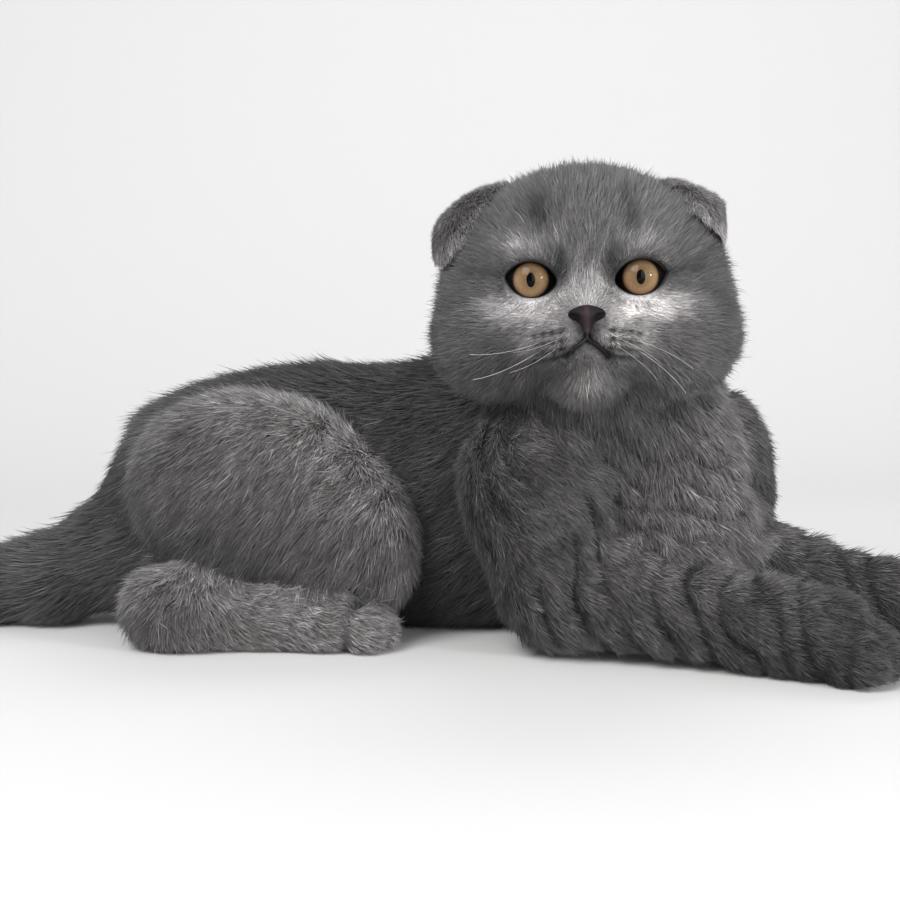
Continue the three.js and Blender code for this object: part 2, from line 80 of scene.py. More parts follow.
# Masses of the body
# The flesh of the kitten under its coat: rounded masses and tapered limbs, whose signed distances
# are added up on a grid, so that skull, muzzle, back, haunches, legs and tail are one surface.
CELL = 1.3
GRID_SIZE = (420, 180, 158)
GRID_LOW = np.array((-236, -84, -6)) + shift
GRID_COUNT = np.ceil(np.array(GRID_SIZE) / CELL).astype(int)
NEAR_SURFACE = 9
FAR = 60.0
grid_lines = [GRID_LOW[i] + CELL * np.arange(GRID_COUNT[i]) for i in range(3)]


def ellipsoid(centre, radii, axes):
    def distance(p):
        along = (p - centre) @ (np.asarray(axes).T / radii)
        size = np.sqrt((along**2).sum(-1))
        steep = np.sqrt(((along / radii) ** 2).sum(-1))
        return size * (size - 1) / np.maximum(steep, 1e-6)

    return distance, np.array(centre) - max(radii), np.array(centre) + max(radii)


def mass(centre, radii, along=(1, 0, 0)):
    first = np.array(along, float) / np.linalg.norm(along)
    level = np.cross((0, 0, 1), first)
    level = level / np.linalg.norm(level)
    axes = [first, level, np.cross(first, level)]
    return ellipsoid(np.array(centre) + shift, np.array(radii, float), axes)


def limb_between(start, end, start_radius, end_radius):
    start, end = np.array(start, float), np.array(end, float)
    run = end - start

    def distance(p):
        t = np.clip((p - start) @ run / (run @ run), 0, 1)
        off = p - start - t[..., None] * run
        return np.sqrt((off**2).sum(-1)) - start_radius - (end_radius - start_radius) * t

    reach = max(start_radius, end_radius)
    return distance, np.minimum(start, end) - reach, np.maximum(start, end) + reach


def limb(start, end, start_radius, end_radius):
    return limb_between(np.array(start) + shift, np.array(end) + shift, start_radius, end_radius)


def head_mass(centre, radii):
    return ellipsoid(on_head(*centre), np.array(radii, float), HEAD_AXES)


def head_pair(centre, radii):
    return [head_mass((side * centre[0], centre[1], centre[2]), radii) for side in (-1, 1)]


def melt_at(points, width, shapes):
    total = shapes[0][0](points)
    for shape in shapes[1:]:
        following = shape[0](points)
        near = np.maximum(width - np.abs(total - following), 0) / width
        total = np.minimum(total, following) - near**2 * width / 4
    return total


def melted(width, shapes):
    low = np.min([shape[1] for shape in shapes], axis=0)
    high = np.max([shape[2] for shape in shapes], axis=0)
    return (lambda points: melt_at(points, width, shapes)), low, high


HALF_WIDTH = 35
torso_masses = [
    mass((-68, 29, 40), (38, HALF_WIDTH, 38)),
    limb((-82, 27, 40), (-104, 26, 25), 34, 20),
    mass((-40, 30, 46), (50, HALF_WIDTH - 1, 40)),
    mass((8, 24, 46), (48, HALF_WIDTH - 2, 44), (1, -0.25, 0)),
    mass((-14, 27, 24), (62, HALF_WIDTH - 1, 26.5)),
    mass((54, -3, 50), (40, HALF_WIDTH, 45), (0.77, -0.64, 0)),
    mass((62, -12, 26), (36, 33, 28), (0.77, -0.64, 0)),
]
TAIL_LINE = [(-104, 26, 25), (-128, 22, 15), (-152, 21, 12), (-174, 28, 11), (-191, 43, 10), (-201, 62, 9)]
TAIL_RADII = [20, 15.5, 13.5, 12.8, 12, 10.5]
tail_lengths = [
    limb(*ends, *radii)
    for ends, radii in zip(zip(TAIL_LINE, TAIL_LINE[1:]), zip(TAIL_RADII, TAIL_RADII[1:]))
]


def foot(heel, ball, radius, width, reach):
    heel, ball = np.array(heel, float), np.array(ball, float)
    along = (ball - heel) * (1, 1, 0)
    along = along / np.linalg.norm(along)
    across = np.cross((0, 0, 1), along)
    toe_height = radius * 0.75
    toes = []
    for place, share in enumerate((-0.31, -0.115, 0.115, 0.31)):
        ahead = reach + (1.5 if place in (1, 2) else -1.5)
        centre = ball + along * ahead + across * share * width
        centre[2] = toe_height * 0.9 - 1.5
        toes.append(mass(centre, (width * 0.32, width * 0.2, toe_height), along))
    pad = mass(ball, (width * 0.45, width * 0.47, radius), along)
    shank = limb(heel, ball, radius, radius * 0.95)
    return melted(2, [melted(6, [shank, pad]), melted(1.2, toes)])


LEGS = {}
for side, sign, thigh_y, foot_y in (("right", -1, -2, -17), ("left", 1, 59, 70)):
    LEGS["hind_" + side] = [
        melted(12, [
            mass((-58, thigh_y, 44), (43, 24, 34), (1, 0, -0.3)),
            mass((-31, thigh_y + sign * 7, 30), (22, 19, 26)),
            mass((-84, foot_y + sign * 2, 13), (17, 13, 15)),
        ]),
        foot((-82, foot_y, 10), (-39, foot_y + sign * 1.5, 9.5), 12, 24, 14),
    ]
FORELEGS = {
    "right": ((28, -24, 52), (34, -27, 23), (93, -52, 14), (107, -57, 12)),
    "left": ((78, 12, 52), (84, 2, 23), (134, -21, 14), (148, -27, 12)),
}
for side, (shoulder, elbow, wrist, paw) in FORELEGS.items():
    LEGS["fore_" + side] = [
        melted(10, [mass(shoulder, (25, 22, 30)), limb(shoulder, elbow, 22, 21)]),
        limb(elbow, wrist, 20, 13.5),
        foot(wrist, paw, 13.5, 33, 11),
    ]
leg_masses = [shape for shapes in LEGS.values() for shape in shapes]

eye_side = EYE_SPACING / 2
skull_masses = [
    head_mass((0, 1.5, -4), (43.5, 33.5, 38)),
    head_mass((0, 13, 8), (30, 23, 21)),
    *head_pair((25.5, -13.5, 3), (20, 18, 24)),
    *head_pair((19, -11, 16), (15, 13, 14.5)),
    head_mass((0, -23, 22.5), (11.5, 10.5, 13)),
]
nose_bridge = limb_between(on_head(0, EYE_UP + 4, 20), on_head(0, EYE_UP - 8.5, 33.2), 9, 5.6)
muzzle_masses = head_pair((8, EYE_UP - 17, 29), (10, 8.2, 9.8)) + [nose_bridge]
lid_radii = (EYE_RADIUS + 1.5, EYE_RADIUS + 0.9, EYE_RADIUS + 1.1)
lid_masses = head_pair((eye_side, EYE_UP, EYE_FORWARD), lid_radii)
head_shape = melted(5, [
    melted(9, skull_masses),
    *head_pair((14, EYE_UP + 10.5, 16.5), (13, 6.5, 10.5)),
    melted(4, muzzle_masses),
    melted(3, lid_masses),
])
neck_shape = limb((47, -6, 76), (41, -18, 96), 36, 34)
body_shapes = [melted(14, torso_masses), neck_shape, melted(6, tail_lengths), *leg_masses]
REGIONS = {
    "head": head_shape,
    "neck": neck_shape,
    "chest": melted(14, torso_masses[5:]),
    "back": melted(14, torso_masses[:5]),
    "tail": melted(6, tail_lengths),
    "thigh_right": LEGS["hind_right"][0],
    "thigh_left": LEGS["hind_left"][0],
    "hind_foot_right": LEGS["hind_right"][1],
    "hind_foot_left": LEGS["hind_left"][1],
    "foreleg_right": melted(6, LEGS["fore_right"][:2]),
    "foreleg_left": melted(6, LEGS["fore_left"][:2]),
    "forepaw_right": LEGS["fore_right"][2],
    "forepaw_left": LEGS["fore_left"][2],
}
region_names = list(REGIONS)


# Lie of the coat
# A kitten's plush coat is short on the face and paws and deep on the trunk and tail. It grows
# away from the nose over the head, back along the trunk, and down the legs to the toes.
COAT = {  # hair length, depth of the coat, lean in degrees, way of growth, thousands of tufts, brightness
    "head": (5.4, 2.9, 24, None, 138, 0.54),
    "neck": (6.6, 3.2, 22, (0.1, 0.2, -1), 27, 0.56),
    "chest": (6, 2.7, 22, (0.2, -0.35, -1), 56, 0.9),
    "back": (7.4, 3.2, 19, (-1, 0, -0.45), 56, 0.3),
    "tail": (8, 3.4, 22, (-1, 0.35, -0.1), 26, 0.44),
    "thigh_right": (6.6, 2.9, 20, (-0.55, -0.1, -0.8), 60, 0.97),
    "thigh_left": (6.6, 2.9, 20, (-0.55, 0.1, -0.8), 16, 0.8),
    "hind_foot_right": (3.6, 1.5, 20, (1, 0, -0.12), 15, 1.05),
    "hind_foot_left": (3.6, 1.5, 20, (1, 0, -0.12), 5, 1),
    "foreleg_right": (4.6, 2, 22, (0.75, -0.35, -0.4), 48, 0.37),
    "foreleg_left": (4.6, 2, 22, (0.75, -0.35, -0.4), 15, 0.37),
    "forepaw_right": (3.3, 1.4, 20, (0.85, -0.4, -0.15), 13, 0.23),
    "forepaw_left": (3.3, 1.4, 20, (0.85, -0.4, -0.15), 7, 0.23),
}
coat_lengths, coat_depths, coat_leans, coat_thousands, coat_brightness = (
    np.array([COAT[name][column] for name in region_names]) for column in (0, 1, 2, 4, 5)
)
NOSE_TIP = on_head(0, EYE_UP - 11, 38)


def ripple(points, sizes, seed):
    random = np.random.default_rng(seed)
    total = np.zeros(len(points))
    for size in sizes:
        for _ in range(4):
            wave = random.normal(size=3)
            wave = wave / np.linalg.norm(wave) * 2 * math.pi / size
            total += np.sin(points @ wave + random.uniform(0, 2 * math.pi))
    return total / (2 * math.sqrt(len(sizes)))


def region_shares(points):
    distances = np.stack([REGIONS[name][0](points) for name in region_names], axis=1)
    nearest = distances.argmin(axis=1)
    closeness = np.exp(-(distances - distances.min(axis=1)[:, None]) / 5)
    return closeness / closeness.sum(axis=1)[:, None], nearest


def share_of(shares, *names):
    return shares[:, [region_names.index(name) for name in names]].sum(axis=1)


def head_place(points):
    return (points - head_centre) @ HEAD_AXES.T


def nearness(points, centre, radii, sharpness):
    off = np.sqrt((((head_place(points) - centre) / radii) ** 2).sum(axis=1))
    return 1 / (1 + np.exp((off - 1) * sharpness))


def face_nearness(points):
    return nearness(points, (0, -3, 33), (27, 22, 24), 6)


def muzzle_nearness(points):
    return nearness(points, (0, -10, 36), (15, 11, 13), 8)


def eye_nearness(points):
    offs = [np.linalg.norm(points - centre, axis=1) for centre in eye_centres.values()]
    return 1 / (1 + np.exp((np.min(offs, axis=0) - EYE_RADIUS - 3) / 0.8))


# The mouth runs down from the nose and parts to both sides under the whisker pads.
MOUTH_LINE = [(0, -13.3), (0, -16.2), (2, -17.7), (3.9, -19.2), (5.7, -21.3)]


def mouth_distance(points):
    place = head_place(points)
    across = np.stack([np.abs(place[:, 0]), place[:, 1] - EYE_UP], axis=1)
    nearest_yet = np.full(len(points), FAR)
    for start, end in zip(np.array(MOUTH_LINE[:-1]), np.array(MOUTH_LINE[1:])):
        run = end - start
        t = np.clip((across - start) @ run / (run @ run), 0, 1)
        off = np.linalg.norm(across - start - t[:, None] * run, axis=1)
        nearest_yet = np.minimum(nearest_yet, off)
    return np.where(place[:, 2] > 18, nearest_yet, FAR)


def coat_depth(points, shares):
    depth = shares @ coat_depths
    depth = depth * (1 - 0.45 * face_nearness(points))
    depth = depth * (1 - 0.5 * muzzle_nearness(points))
    return depth * (1 - 0.75 * eye_nearness(points))


# Creases cross the chest and the stretched forelegs where the loose skin folds: the coat parts
# along each and shows its dark roots, and the skin and coat along each are darkened as painted
# shade in the fold.
def crease(points, shares):
    local = points - shift
    warp = ripple(points, (34, 19), 11) * 2.8
    across_leg = (local @ np.array((0.82, -0.42, 0.38)) + warp) / 9.5
    across_chest = (local[:, 2] + 0.25 * local[:, 0] + warp) / 9
    legs = share_of(shares, "foreleg_right", "foreleg_left")
    paws = share_of(shares, "forepaw_right", "forepaw_left")
    chest = share_of(shares, "chest") + 0.5 * share_of(shares, "neck")

    def line(where):
        return np.exp(-(((where - np.round(where)) / 0.16) ** 2))

    broken = np.clip(0.72 + 0.6 * ripple(points, (27,), 5), 0, 1)
    front = np.clip((local[:, 0] - 14) / 18, 0, 1)
    return broken * (line(across_leg) * (legs + 0.45 * paws) + line(across_chest) * chest * front)


# Skin
# One seamless hide under the coat, made as a net over the masses. It lies inside the outline by
# the depth of the coat, with an almond opening at each eye.
LID_CURVE = 8.3
LID_RISE = 3.1
LID_TILT = math.radians(7)
SKIN_OFF_FLOOR = 0.6


def tilted_opening(points, side):
    sign = 1 if side == "left" else -1
    place = (points - eye_centres[side]) @ HEAD_AXES.T
    across = sign * place[..., 0] * math.cos(LID_TILT) + place[..., 1] * math.sin(LID_TILT)
    high = place[..., 1] * math.cos(LID_TILT) - sign * place[..., 0] * math.sin(LID_TILT)
    lower = np.hypot(across, high - LID_RISE) - LID_CURVE
    upper = np.hypot(across, high + LID_RISE) - LID_CURVE
    return np.maximum(lower, upper), place[..., 2]


field = np.full(GRID_COUNT, FAR, np.float32)
for shapes, width in ((body_shapes, 7), ([head_shape], 4)):
    for distance, low, high in shapes:
        first = np.maximum(((low - NEAR_SURFACE - GRID_LOW) / CELL).astype(int), 0)
        last = np.minimum(((high + NEAR_SURFACE - GRID_LOW) / CELL).astype(int) + 1, GRID_COUNT)
        room = tuple(slice(first[i], last[i]) for i in range(3))
        lines = [grid_lines[i][room[i]] for i in range(3)]
        points = np.stack(np.meshgrid(*lines, indexing="ij"), axis=-1)
        following = distance(points)
        near = np.maximum(width - np.abs(field[room] - following), 0) / width
        field[room] = np.minimum(field[room], following) - near**2 * width / 4

shell = np.argwhere(np.abs(field) < NEAR_SURFACE)
shell_points = GRID_LOW + shell * CELL
shell_shares, _ = region_shares(shell_points)
inward = coat_depth(shell_points, shell_shares) + 2.2 * crease(shell_points, shell_shares)
inward = inward + 1.3 * np.exp(-((mouth_distance(shell_points) / 1.5) ** 2))
moved = field[tuple(shell.T)] + inward
for side in eye_centres:
    opening, ahead = tilted_opening(shell_points, side)
    hole = np.maximum(opening, 3 - ahead)
    moved = np.maximum(moved, -hole)
moved = np.maximum(moved, SKIN_OFF_FLOOR - shell_points[:, 2])
field[tuple(shell.T)] = moved


def net(values, low, cell):
    inside = values < 0
    corners = [(i, j, k) for i in (0, 1) for j in (0, 1) for k in (0, 1)]
    size = np.array(values.shape) - 1
    count = np.zeros(size, np.int8)
    for i, j, k in corners:
        count += inside[i : i + size[0], j : j + size[1], k : k + size[2]]
    cells = np.argwhere((count > 0) & (count < 8))
    number = np.full(size, -1, np.int64)
    number[tuple(cells.T)] = np.arange(len(cells))
    total = np.zeros((len(cells), 3))
    crossings = np.zeros(len(cells))
    for corner in corners:
        for axis in range(3):
            if corner[axis]:
                continue
            far = list(corner)
            far[axis] = 1
            a = values[tuple((cells + corner).T)]
            b = values[tuple((cells + far).T)]
            crossed = (a < 0) != (b < 0)
            t = np.where(crossed, a / np.where(crossed, a - b, 1), 0)
            place = np.array(corner, float) + np.eye(3)[axis] * t[:, None]
            total += place * crossed[:, None]
            crossings += crossed
    points = low + (cells + total / crossings[:, None]) * cell
    quads = []
    for axis in range(3):
        u, v = (axis + 1) % 3, (axis + 2) % 3
        start = [slice(1, -1)] * 3
        end = [slice(1, -1)] * 3
        start[axis] = slice(0, -1)
        end[axis] = slice(1, None)
        a, b = inside[tuple(start)], inside[tuple(end)]
        for flip, changed in ((False, a & ~b), (True, ~a & b)):
            edges = np.argwhere(changed) + 1
            edges[:, axis] -= 1
            ring = []
            for du, dv in ((-1, -1), (0, -1), (0, 0), (-1, 0)):
                corner = edges.copy()
                corner[:, u] += du
                corner[:, v] += dv
                ring.append(number[tuple(corner.T)])
            quads.append(np.stack(ring[::-1] if flip else ring, axis=1))
    return points, np.concatenate(quads)


def smoothed(points, quads, rounds):
    for _ in range(rounds):
        total = np.zeros_like(points)
        count = np.zeros(len(points))
        for a, b in ((0, 1), (1, 2), (2, 3), (3, 0)):
            for here, there in ((quads[:, a], quads[:, b]), (quads[:, b], quads[:, a])):
                for axis in range(3):
                    total[:, axis] += np.bincount(here, points[there, axis], len(points))
                count += np.bincount(here, minlength=len(points))
        points = points + 0.5 * (total / np.maximum(count, 1)[:, None] - points)
    return points


skin_points, skin_quads = net(field, GRID_LOW, CELL)
skin_points = smoothed(skin_points, skin_quads, 2)


# Ears
# Each is a thin folded flap of hide and cartilage that rises behind, folds over a ridge and hangs
# forward over its cup, so that only the furred back shows, with the bare cup dark below it.
EAR_STEPS = 34
FOLD_AT = 0.45
EAR_ROOT = ((17, 27, 5), (24, 22, -9), (33, 13, -15), (40, 4, -9))
EARS = {  # side, ridge of the fold and free edge of the flap
    "right": (-1, ((21, 31.5, 4), (31.5, 29, -1), (40, 23, -4), (43.5, 15.5, -6)),
              ((22, 28, 9), (29, 22.5, 12.5), (39.8, 11, 10), (44, 11, -1))),
    "left": (1, ((22.5, 31, 4), (30, 29.5, -1), (37, 26, -3), (41, 21.5, -5)),
             ((21.5, 27, 9), (30, 23.5, 11), (38.7, 17, 9), (40.5, 13.5, -1))),
}


def smooth_line(points, t):
    points = np.array(points, float)
    ends = np.array([2 * points[0] - points[1], *points, 2 * points[-1] - points[-2]])
    where = np.clip(t, 0, 0.9999) * (len(points) - 1)
    n = where.astype(int)
    t = (where - n)[..., None]
    a, b, c, d = ends[n], ends[n + 1], ends[n + 2], ends[n + 3]
    return 0.5 * (2 * b + (c - a) * t + (2 * a - 5 * b + 4 * c - d) * t**2 + (3 * b - a - 3 * c + d) * t**3)


ear_meshes = {}
for ear, (sign, ear_ridge, ear_edge) in EARS.items():
    root, ridge, free = (
        [on_head(sign * s, u, f) for s, u, f in line] for line in (EAR_ROOT, ear_ridge, ear_edge)
    )
    across, along = np.meshgrid(*[np.linspace(0, 1, EAR_STEPS + 1)] * 2, indexing="ij")
    to_root = (FOLD_AT - along) * (1 - along) / FOLD_AT
    to_ridge = along * (1 - along) / (FOLD_AT * (1 - FOLD_AT))
    to_free = along * (along - FOLD_AT) / (1 - FOLD_AT)
    lines = [smooth_line(line, across) for line in (root, ridge, free)]
    middle = sum(line * share[..., None] for line, share in zip(lines, (to_root, to_ridge, to_free)))
    normal = np.cross(np.gradient(middle, axis=0), np.gradient(middle, axis=1))
    normal = normal / np.linalg.norm(normal, axis=-1, keepdims=True)
    outwards = normal * np.sign(((normal * (middle - head_centre)).sum(-1)).mean())
    edge = np.minimum(np.minimum(across, 1 - across), 1 - along)
    thick = 0.9 * np.sqrt(np.clip(edge / 0.1, 0.04, 1))[..., None]
    sheets = [middle + outwards * (thick - 0.5), middle - outwards * (thick + 0.5)]
    row = EAR_STEPS + 1
    number = np.arange(row * row).reshape(row, row)
    face = np.stack([number[:-1, :-1], number[1:, :-1], number[1:, 1:], number[:-1, 1:]], -1).reshape(-1, 4)
    rim = np.concatenate([number[:, 0], number[-1, 1:], number[-2::-1, -1], number[0, -2:0:-1]])
    bridge = np.stack([rim, np.roll(rim, -1), np.roll(rim, -1) + row * row, rim + row * row], axis=1)
    outer_turned = np.sign(((normal * outwards).sum(-1)).mean()) > 0
    front, back = (face, face[:, ::-1]) if outer_turned else (face[:, ::-1], face)
    bridge = bridge[:, ::-1] if outer_turned else bridge
    quads = np.concatenate([front, back + row * row, bridge])
    ear_meshes[ear] = {
        "points": np.concatenate([sheet.reshape(-1, 3) for sheet in sheets]),
        "quads": quads,
        "outer": np.arange(row * row),
        "outwards": outwards.reshape(-1, 3),
        "growth": np.gradient(middle, axis=1).reshape(-1, 3),
        "along": along.reshape(-1, 1),
        "free": lines[2][:, -1],
        "front": front,
    }


# Markings and painted shade
# Blue-grey with paler fur round the eyes, on the bridge of the nose and on the muzzle, a dark
# spot over each eye, faint tabby lines on the brow and flanks, and darker lower legs and flank.
# Painted shade is added under the ear flaps, in the gap under the chin, under the jaw, along the
# top of the back, in the creases and along the mouth.
WHISKER_PLACES = [
    (6.2 + 2.3 * along, EYE_UP - 13.8 - 2.3 * line - 0.35 * along)
    for line in range(4)
    for along in range(4)
]
FACE_MARKS = [  # brightness added, place on either side of the face, and reach
    (4.6, (13.5, EYE_UP - 7.4, 26), (8.5, 3.6, 14)),
    (2, (0, EYE_UP - 4.5, 34), (5.4, 5, 14)),
    (1.2, (21.5, EYE_UP - 7, 22), (6, 3, 14)),
    (1.3, (9, EYE_UP - 15.5, 36), (8, 5.2, 14)),
    (0.9, (15, EYE_UP - 18.5, 32), (3, 5.5, 14)),
    (0.8, (16.5, EYE_UP + 8.6, 26), (7.5, 2, 14)),
    (1.45, (0, -24, 34), (6.5, 6, 14)),
    (-0.65, (11.4, EYE_UP + 15, 25), (2.1, 4.6, 16)),
    (-0.5, (7.4, EYE_UP + 3.6, 28), (2, 4.5, 14)),
    (-0.45, (26, EYE_UP + 1.5, 20), (5.5, 1.5, 12)),
    *[(-2.6, (side_place, up_place, 34), (0.8, 0.62, 14)) for side_place, up_place in WHISKER_PLACES],
]


def spot(place, centre, radii):
    return np.exp(-(((place - centre) / radii) ** 2).sum(axis=1))


# The coat is in shade along the line where the free edge of each flap lies over the head.
def flap_shade(points):
    place = head_place(points)
    shade = np.zeros(len(points))
    beside = np.flatnonzero((np.abs(place[:, 0]) > 16) & (place[:, 1] > 2) & (place[:, 2] > -12))
    edge_points = np.concatenate([ear_mesh["free"] for ear_mesh in ear_meshes.values()])
    if len(beside):
        off = np.full(len(beside), FAR)
        for edge_point in edge_points:
            off = np.minimum(off, np.linalg.norm(points[beside] - edge_point, axis=1))
        shade[beside] = np.exp(-((off / 2.6) ** 2))
    return shade


def markings_and_shade(points):
    shares, _ = region_shares(points)
    local = points - shift
    place = head_place(points)
    sided = np.stack([np.abs(place[:, 0]), place[:, 1], place[:, 2]], axis=1)
    brightness = shares @ coat_brightness
    on_face = np.clip((place[:, 2] - 6) / 10, 0, 1) * shares[:, 0]
    for added, centre, reach in FACE_MARKS:
        brightness += on_face * added * spot(sided, centre, reach)
    # Painted shade: the coat is darkened in a patch under each ear flap.
    brightness -= 0.7 * spot(sided, (31, 17.5, 6), (6.5, 4.5, 9))
    # The fur is darkened along the mouth line: the dark lip edge, and painted shade in the groove of the
    # mouth.
    brightness -= 1.4 * on_face * np.exp(-((mouth_distance(points) / 1.2) ** 2))
    # Painted shade: a dark patch in the gap of the chest fur under the chin.
    brightness -= 0.62 * spot(local, (46, -66, 78), (6, 14, 8))
    lines = 0.5 + 0.5 * np.cos(place[:, 0] * 1.15 + 0.9 * ripple(points, (22,), 3))
    brightness -= on_face * 0.16 * lines**3 * np.clip((place[:, 1] - 16) / 8, 0, 1)
    cheek_line = np.exp(-((((place[:, 1] - EYE_UP + 3 + 0.3 * (sided[:, 0] - 22))) / 2) ** 2))
    brightness -= on_face * 0.2 * cheek_line * np.clip((sided[:, 0] - 22) / 6, 0, 1)
    brightness -= 0.12 * shares[:, 0] * np.clip((sided[:, 0] - 26) / 16, 0, 1)
    # Painted shade under the jaw: the head's coat is darkened below the chin and cheeks.
    brightness *= 1 - 0.5 * shares[:, 0] * np.clip((-22 - place[:, 1]) / 9, 0, 1)
    # Painted shade: the coat is darker along the top of the back.
    ridge = np.clip((local[:, 2] - 76) / 12, 0, 1) * (1 - shares[:, 0])
    brightness *= 1 - 0.55 * ridge * (share_of(shares, "back") + 0.3)
    flank = share_of(shares, "back") * np.clip((54 - local[:, 2]) / 30, 0, 1)
    brightness *= 1 - 0.3 * flank
    bars = np.cos((local[:, 0] + 0.35 * local[:, 2] + 6 * ripple(points, (45,), 8)) / 4.2)
    trunk = share_of(shares, "back", "thigh_right", "thigh_left")
    brightness *= 1 - 0.12 * trunk * np.clip(bars, 0, 1)
    # Painted shade: skin and coat are darkened along the creases.
    brightness *= 1 - 0.92 * np.clip(crease(points, shares), 0, 1)
    brightness *= 1 - 0.75 * flap_shade(points)
    brightness *= 1 + 0.12 * ripple(points, (16, 8), 21)
    return np.clip(brightness, 0.08, 4.4)


def set_attribute(mesh, name, values, kind="FLOAT"):
    attribute = mesh.attributes.new(name, kind, "POINT")
    key = "value" if kind == "FLOAT" else "vector"
    attribute.data.foreach_set(key, np.asarray(values, np.float32).ravel())


def placed(name, data):
    piece = bpy.data.objects.new(name, data)
    bpy.context.scene.collection.objects.link(piece)
    return piece


def mesh_piece(name, points, faces, material):
    mesh = bpy.data.meshes.new(name)
    mesh.vertices.add(len(points))
    mesh.vertices.foreach_set("co", (np.asarray(points) / 1000).astype(np.float32).ravel())
    corners = faces.shape[1]
    mesh.loops.add(len(faces) * corners)
    mesh.loops.foreach_set("vertex_index", faces.astype(np.int32).ravel())
    mesh.polygons.add(len(faces))
    mesh.polygons.foreach_set("loop_start", np.arange(0, len(faces) * corners, corners, dtype=np.int32))
    mesh.update(calc_edges=True)
    mesh.shade_smooth()
    mesh.materials.append(material)
    return placed(name, mesh)


def new_material(name, roughness, specular=0.5):
    material = bpy.data.materials.new(name)
    material.use_nodes = True
    shader = material.node_tree.nodes["Principled BSDF"]
    shader.inputs["Roughness"].default_value = roughness
    shader.inputs["Specular IOR Level"].default_value = specular
    return material, material.node_tree, shader


def add_node(tree, kind, inputs=None, **settings):
    node = tree.nodes.new(kind)
    for key, value in settings.items():
        setattr(node, key, value)
    for socket, value in (inputs or {}).items():
        if isinstance(value, bpy.types.NodeSocket):
            tree.links.new(value, node.inputs[socket])
        else:
            node.inputs[socket].default_value = value
    return node


def noise_at(tree, scale, detail=4):
    place = add_node(tree, "ShaderNodeTexCoord").outputs["Object"]
    noise = add_node(tree, "ShaderNodeTexNoise", {"Vector": place, "Scale": scale, "Detail": detail})
    return noise.outputs["Fac"]


def attribute_of(tree, name, output="Fac"):
    return add_node(tree, "ShaderNodeAttribute", attribute_name=name).outputs[output]


def ramp_of(tree, source, stops):
    ramp = add_node(tree, "ShaderNodeValToRGB", {"Fac": source})
    while len(ramp.color_ramp.elements) < len(stops):
        ramp.color_ramp.elements.new(0.5)
    for element, (position, colour) in zip(ramp.color_ramp.elements, stops):
        element.position = position
        element.color = (*colour, 1)
    return ramp.outputs["Color"]


def speckled(tree, noise, dark, pale):
    return ramp_of(tree, noise, [(0.3, dark), (0.7, pale)])


def mixed(tree, factor, first, second, blend="MIX"):
    inputs = {"Factor": factor, "A": first, "B": second}
    mix = add_node(tree, "ShaderNodeMix", inputs, data_type="RGBA", blend_type=blend)
    return mix.outputs["Result"]


def multiplied(tree, first, second):
    return mixed(tree, 1, first, second, "MULTIPLY")


def maths(tree, operation, *values):
    return add_node(tree, "ShaderNodeMath", dict(enumerate(values)), operation=operation).outputs[0]


def coloured(tree, shader, colour):
    tree.links.new(colour, shader.inputs["Base Color"])


def roughened(tree, shader, height, strength, distance, invert=False):
    inputs = {"Strength": strength, "Distance": distance, "Height": height}
    bump = add_node(tree, "ShaderNodeBump", inputs, invert=invert)
    tree.links.new(bump.outputs["Normal"], shader.inputs["Normal"])


skin_material, tree, shader = new_material("short_underfur", 0.85, 0.15)
noise = noise_at(tree, 900)
underfur = speckled(tree, noise, (0.05, 0.048, 0.048), (0.12, 0.116, 0.115))
underfur = multiplied(tree, underfur, attribute_of(tree, "marking_and_shade"))
coloured(tree, shader, mixed(tree, attribute_of(tree, "bare"), underfur, (0.075, 0.045, 0.043, 1)))
roughened(tree, shader, noise, 0.6, 0.0006)

all_points = [skin_points]
all_quads = [skin_quads]
bare_values = [np.zeros(len(skin_points))]
for ear_mesh in ear_meshes.values():
    all_quads.append(ear_mesh["quads"] + sum(len(points) for points in all_points))
    all_points.append(ear_mesh["points"])
    inner = np.ones(len(ear_mesh["points"]))
    inner[ear_mesh["outer"]] = 0
    bare_values.append(inner)
all_points = np.concatenate(all_points)
skin = mesh_piece("skin", all_points, np.concatenate(all_quads), skin_material)
set_attribute(skin.data, "marking_and_shade", markings_and_shade(all_points))
set_attribute(skin.data, "bare", np.concatenate(bare_values))
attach(skin, "root")
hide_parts(*FLESH)


# Coat
# Several hundred thousand thin tufts of guard hair and down, rooted on the skin and leaning the
# way the coat grows. Each is a three-sided spike that is paler at its tip than at its root.
coat_material, tree, shader = new_material("plush_grey_coat", 0.62, 0.22)
shader.inputs["Sheen Weight"].default_value = 0.12
shader.inputs["Sheen Roughness"].default_value = 0.5
hair = ramp_of(tree, attribute_of(tree, "along"), [
    (0, (0.045, 0.042, 0.042)),
    (0.45, (0.145, 0.138, 0.136)),
    (0.8, (0.245, 0.234, 0.232)),
    (1, (0.345, 0.33, 0.326)),
])
tone = multiplied(tree, hair, attribute_of(tree, "tone"))
drift = speckled(tree, noise_at(tree, 95, 3), (0.86, 0.85, 0.84), (1.08, 1.08, 1.1))
tone = multiplied(tree, tone, drift)
coloured(tree, shader, multiplied(tree, tone, attribute_of(tree, "marking_and_shade")))

random = np.random.default_rng(4)
TUFTS = int(coat_thousands.sum() * 1000)
EAR_TUFTS = 9000


def unit_rows(vectors):
    return vectors / np.maximum(np.linalg.norm(vectors, axis=1), 1e-9)[:, None]


def face_geometry(points, quads):
    a, b, c, d = (points[quads[:, n]] for n in range(4))
    normal = np.cross(c - a, d - b)
    area = np.linalg.norm(normal, axis=1) / 2
    return (a + b + c + d) / 4, normal / np.maximum(2 * area, 1e-9)[:, None], area


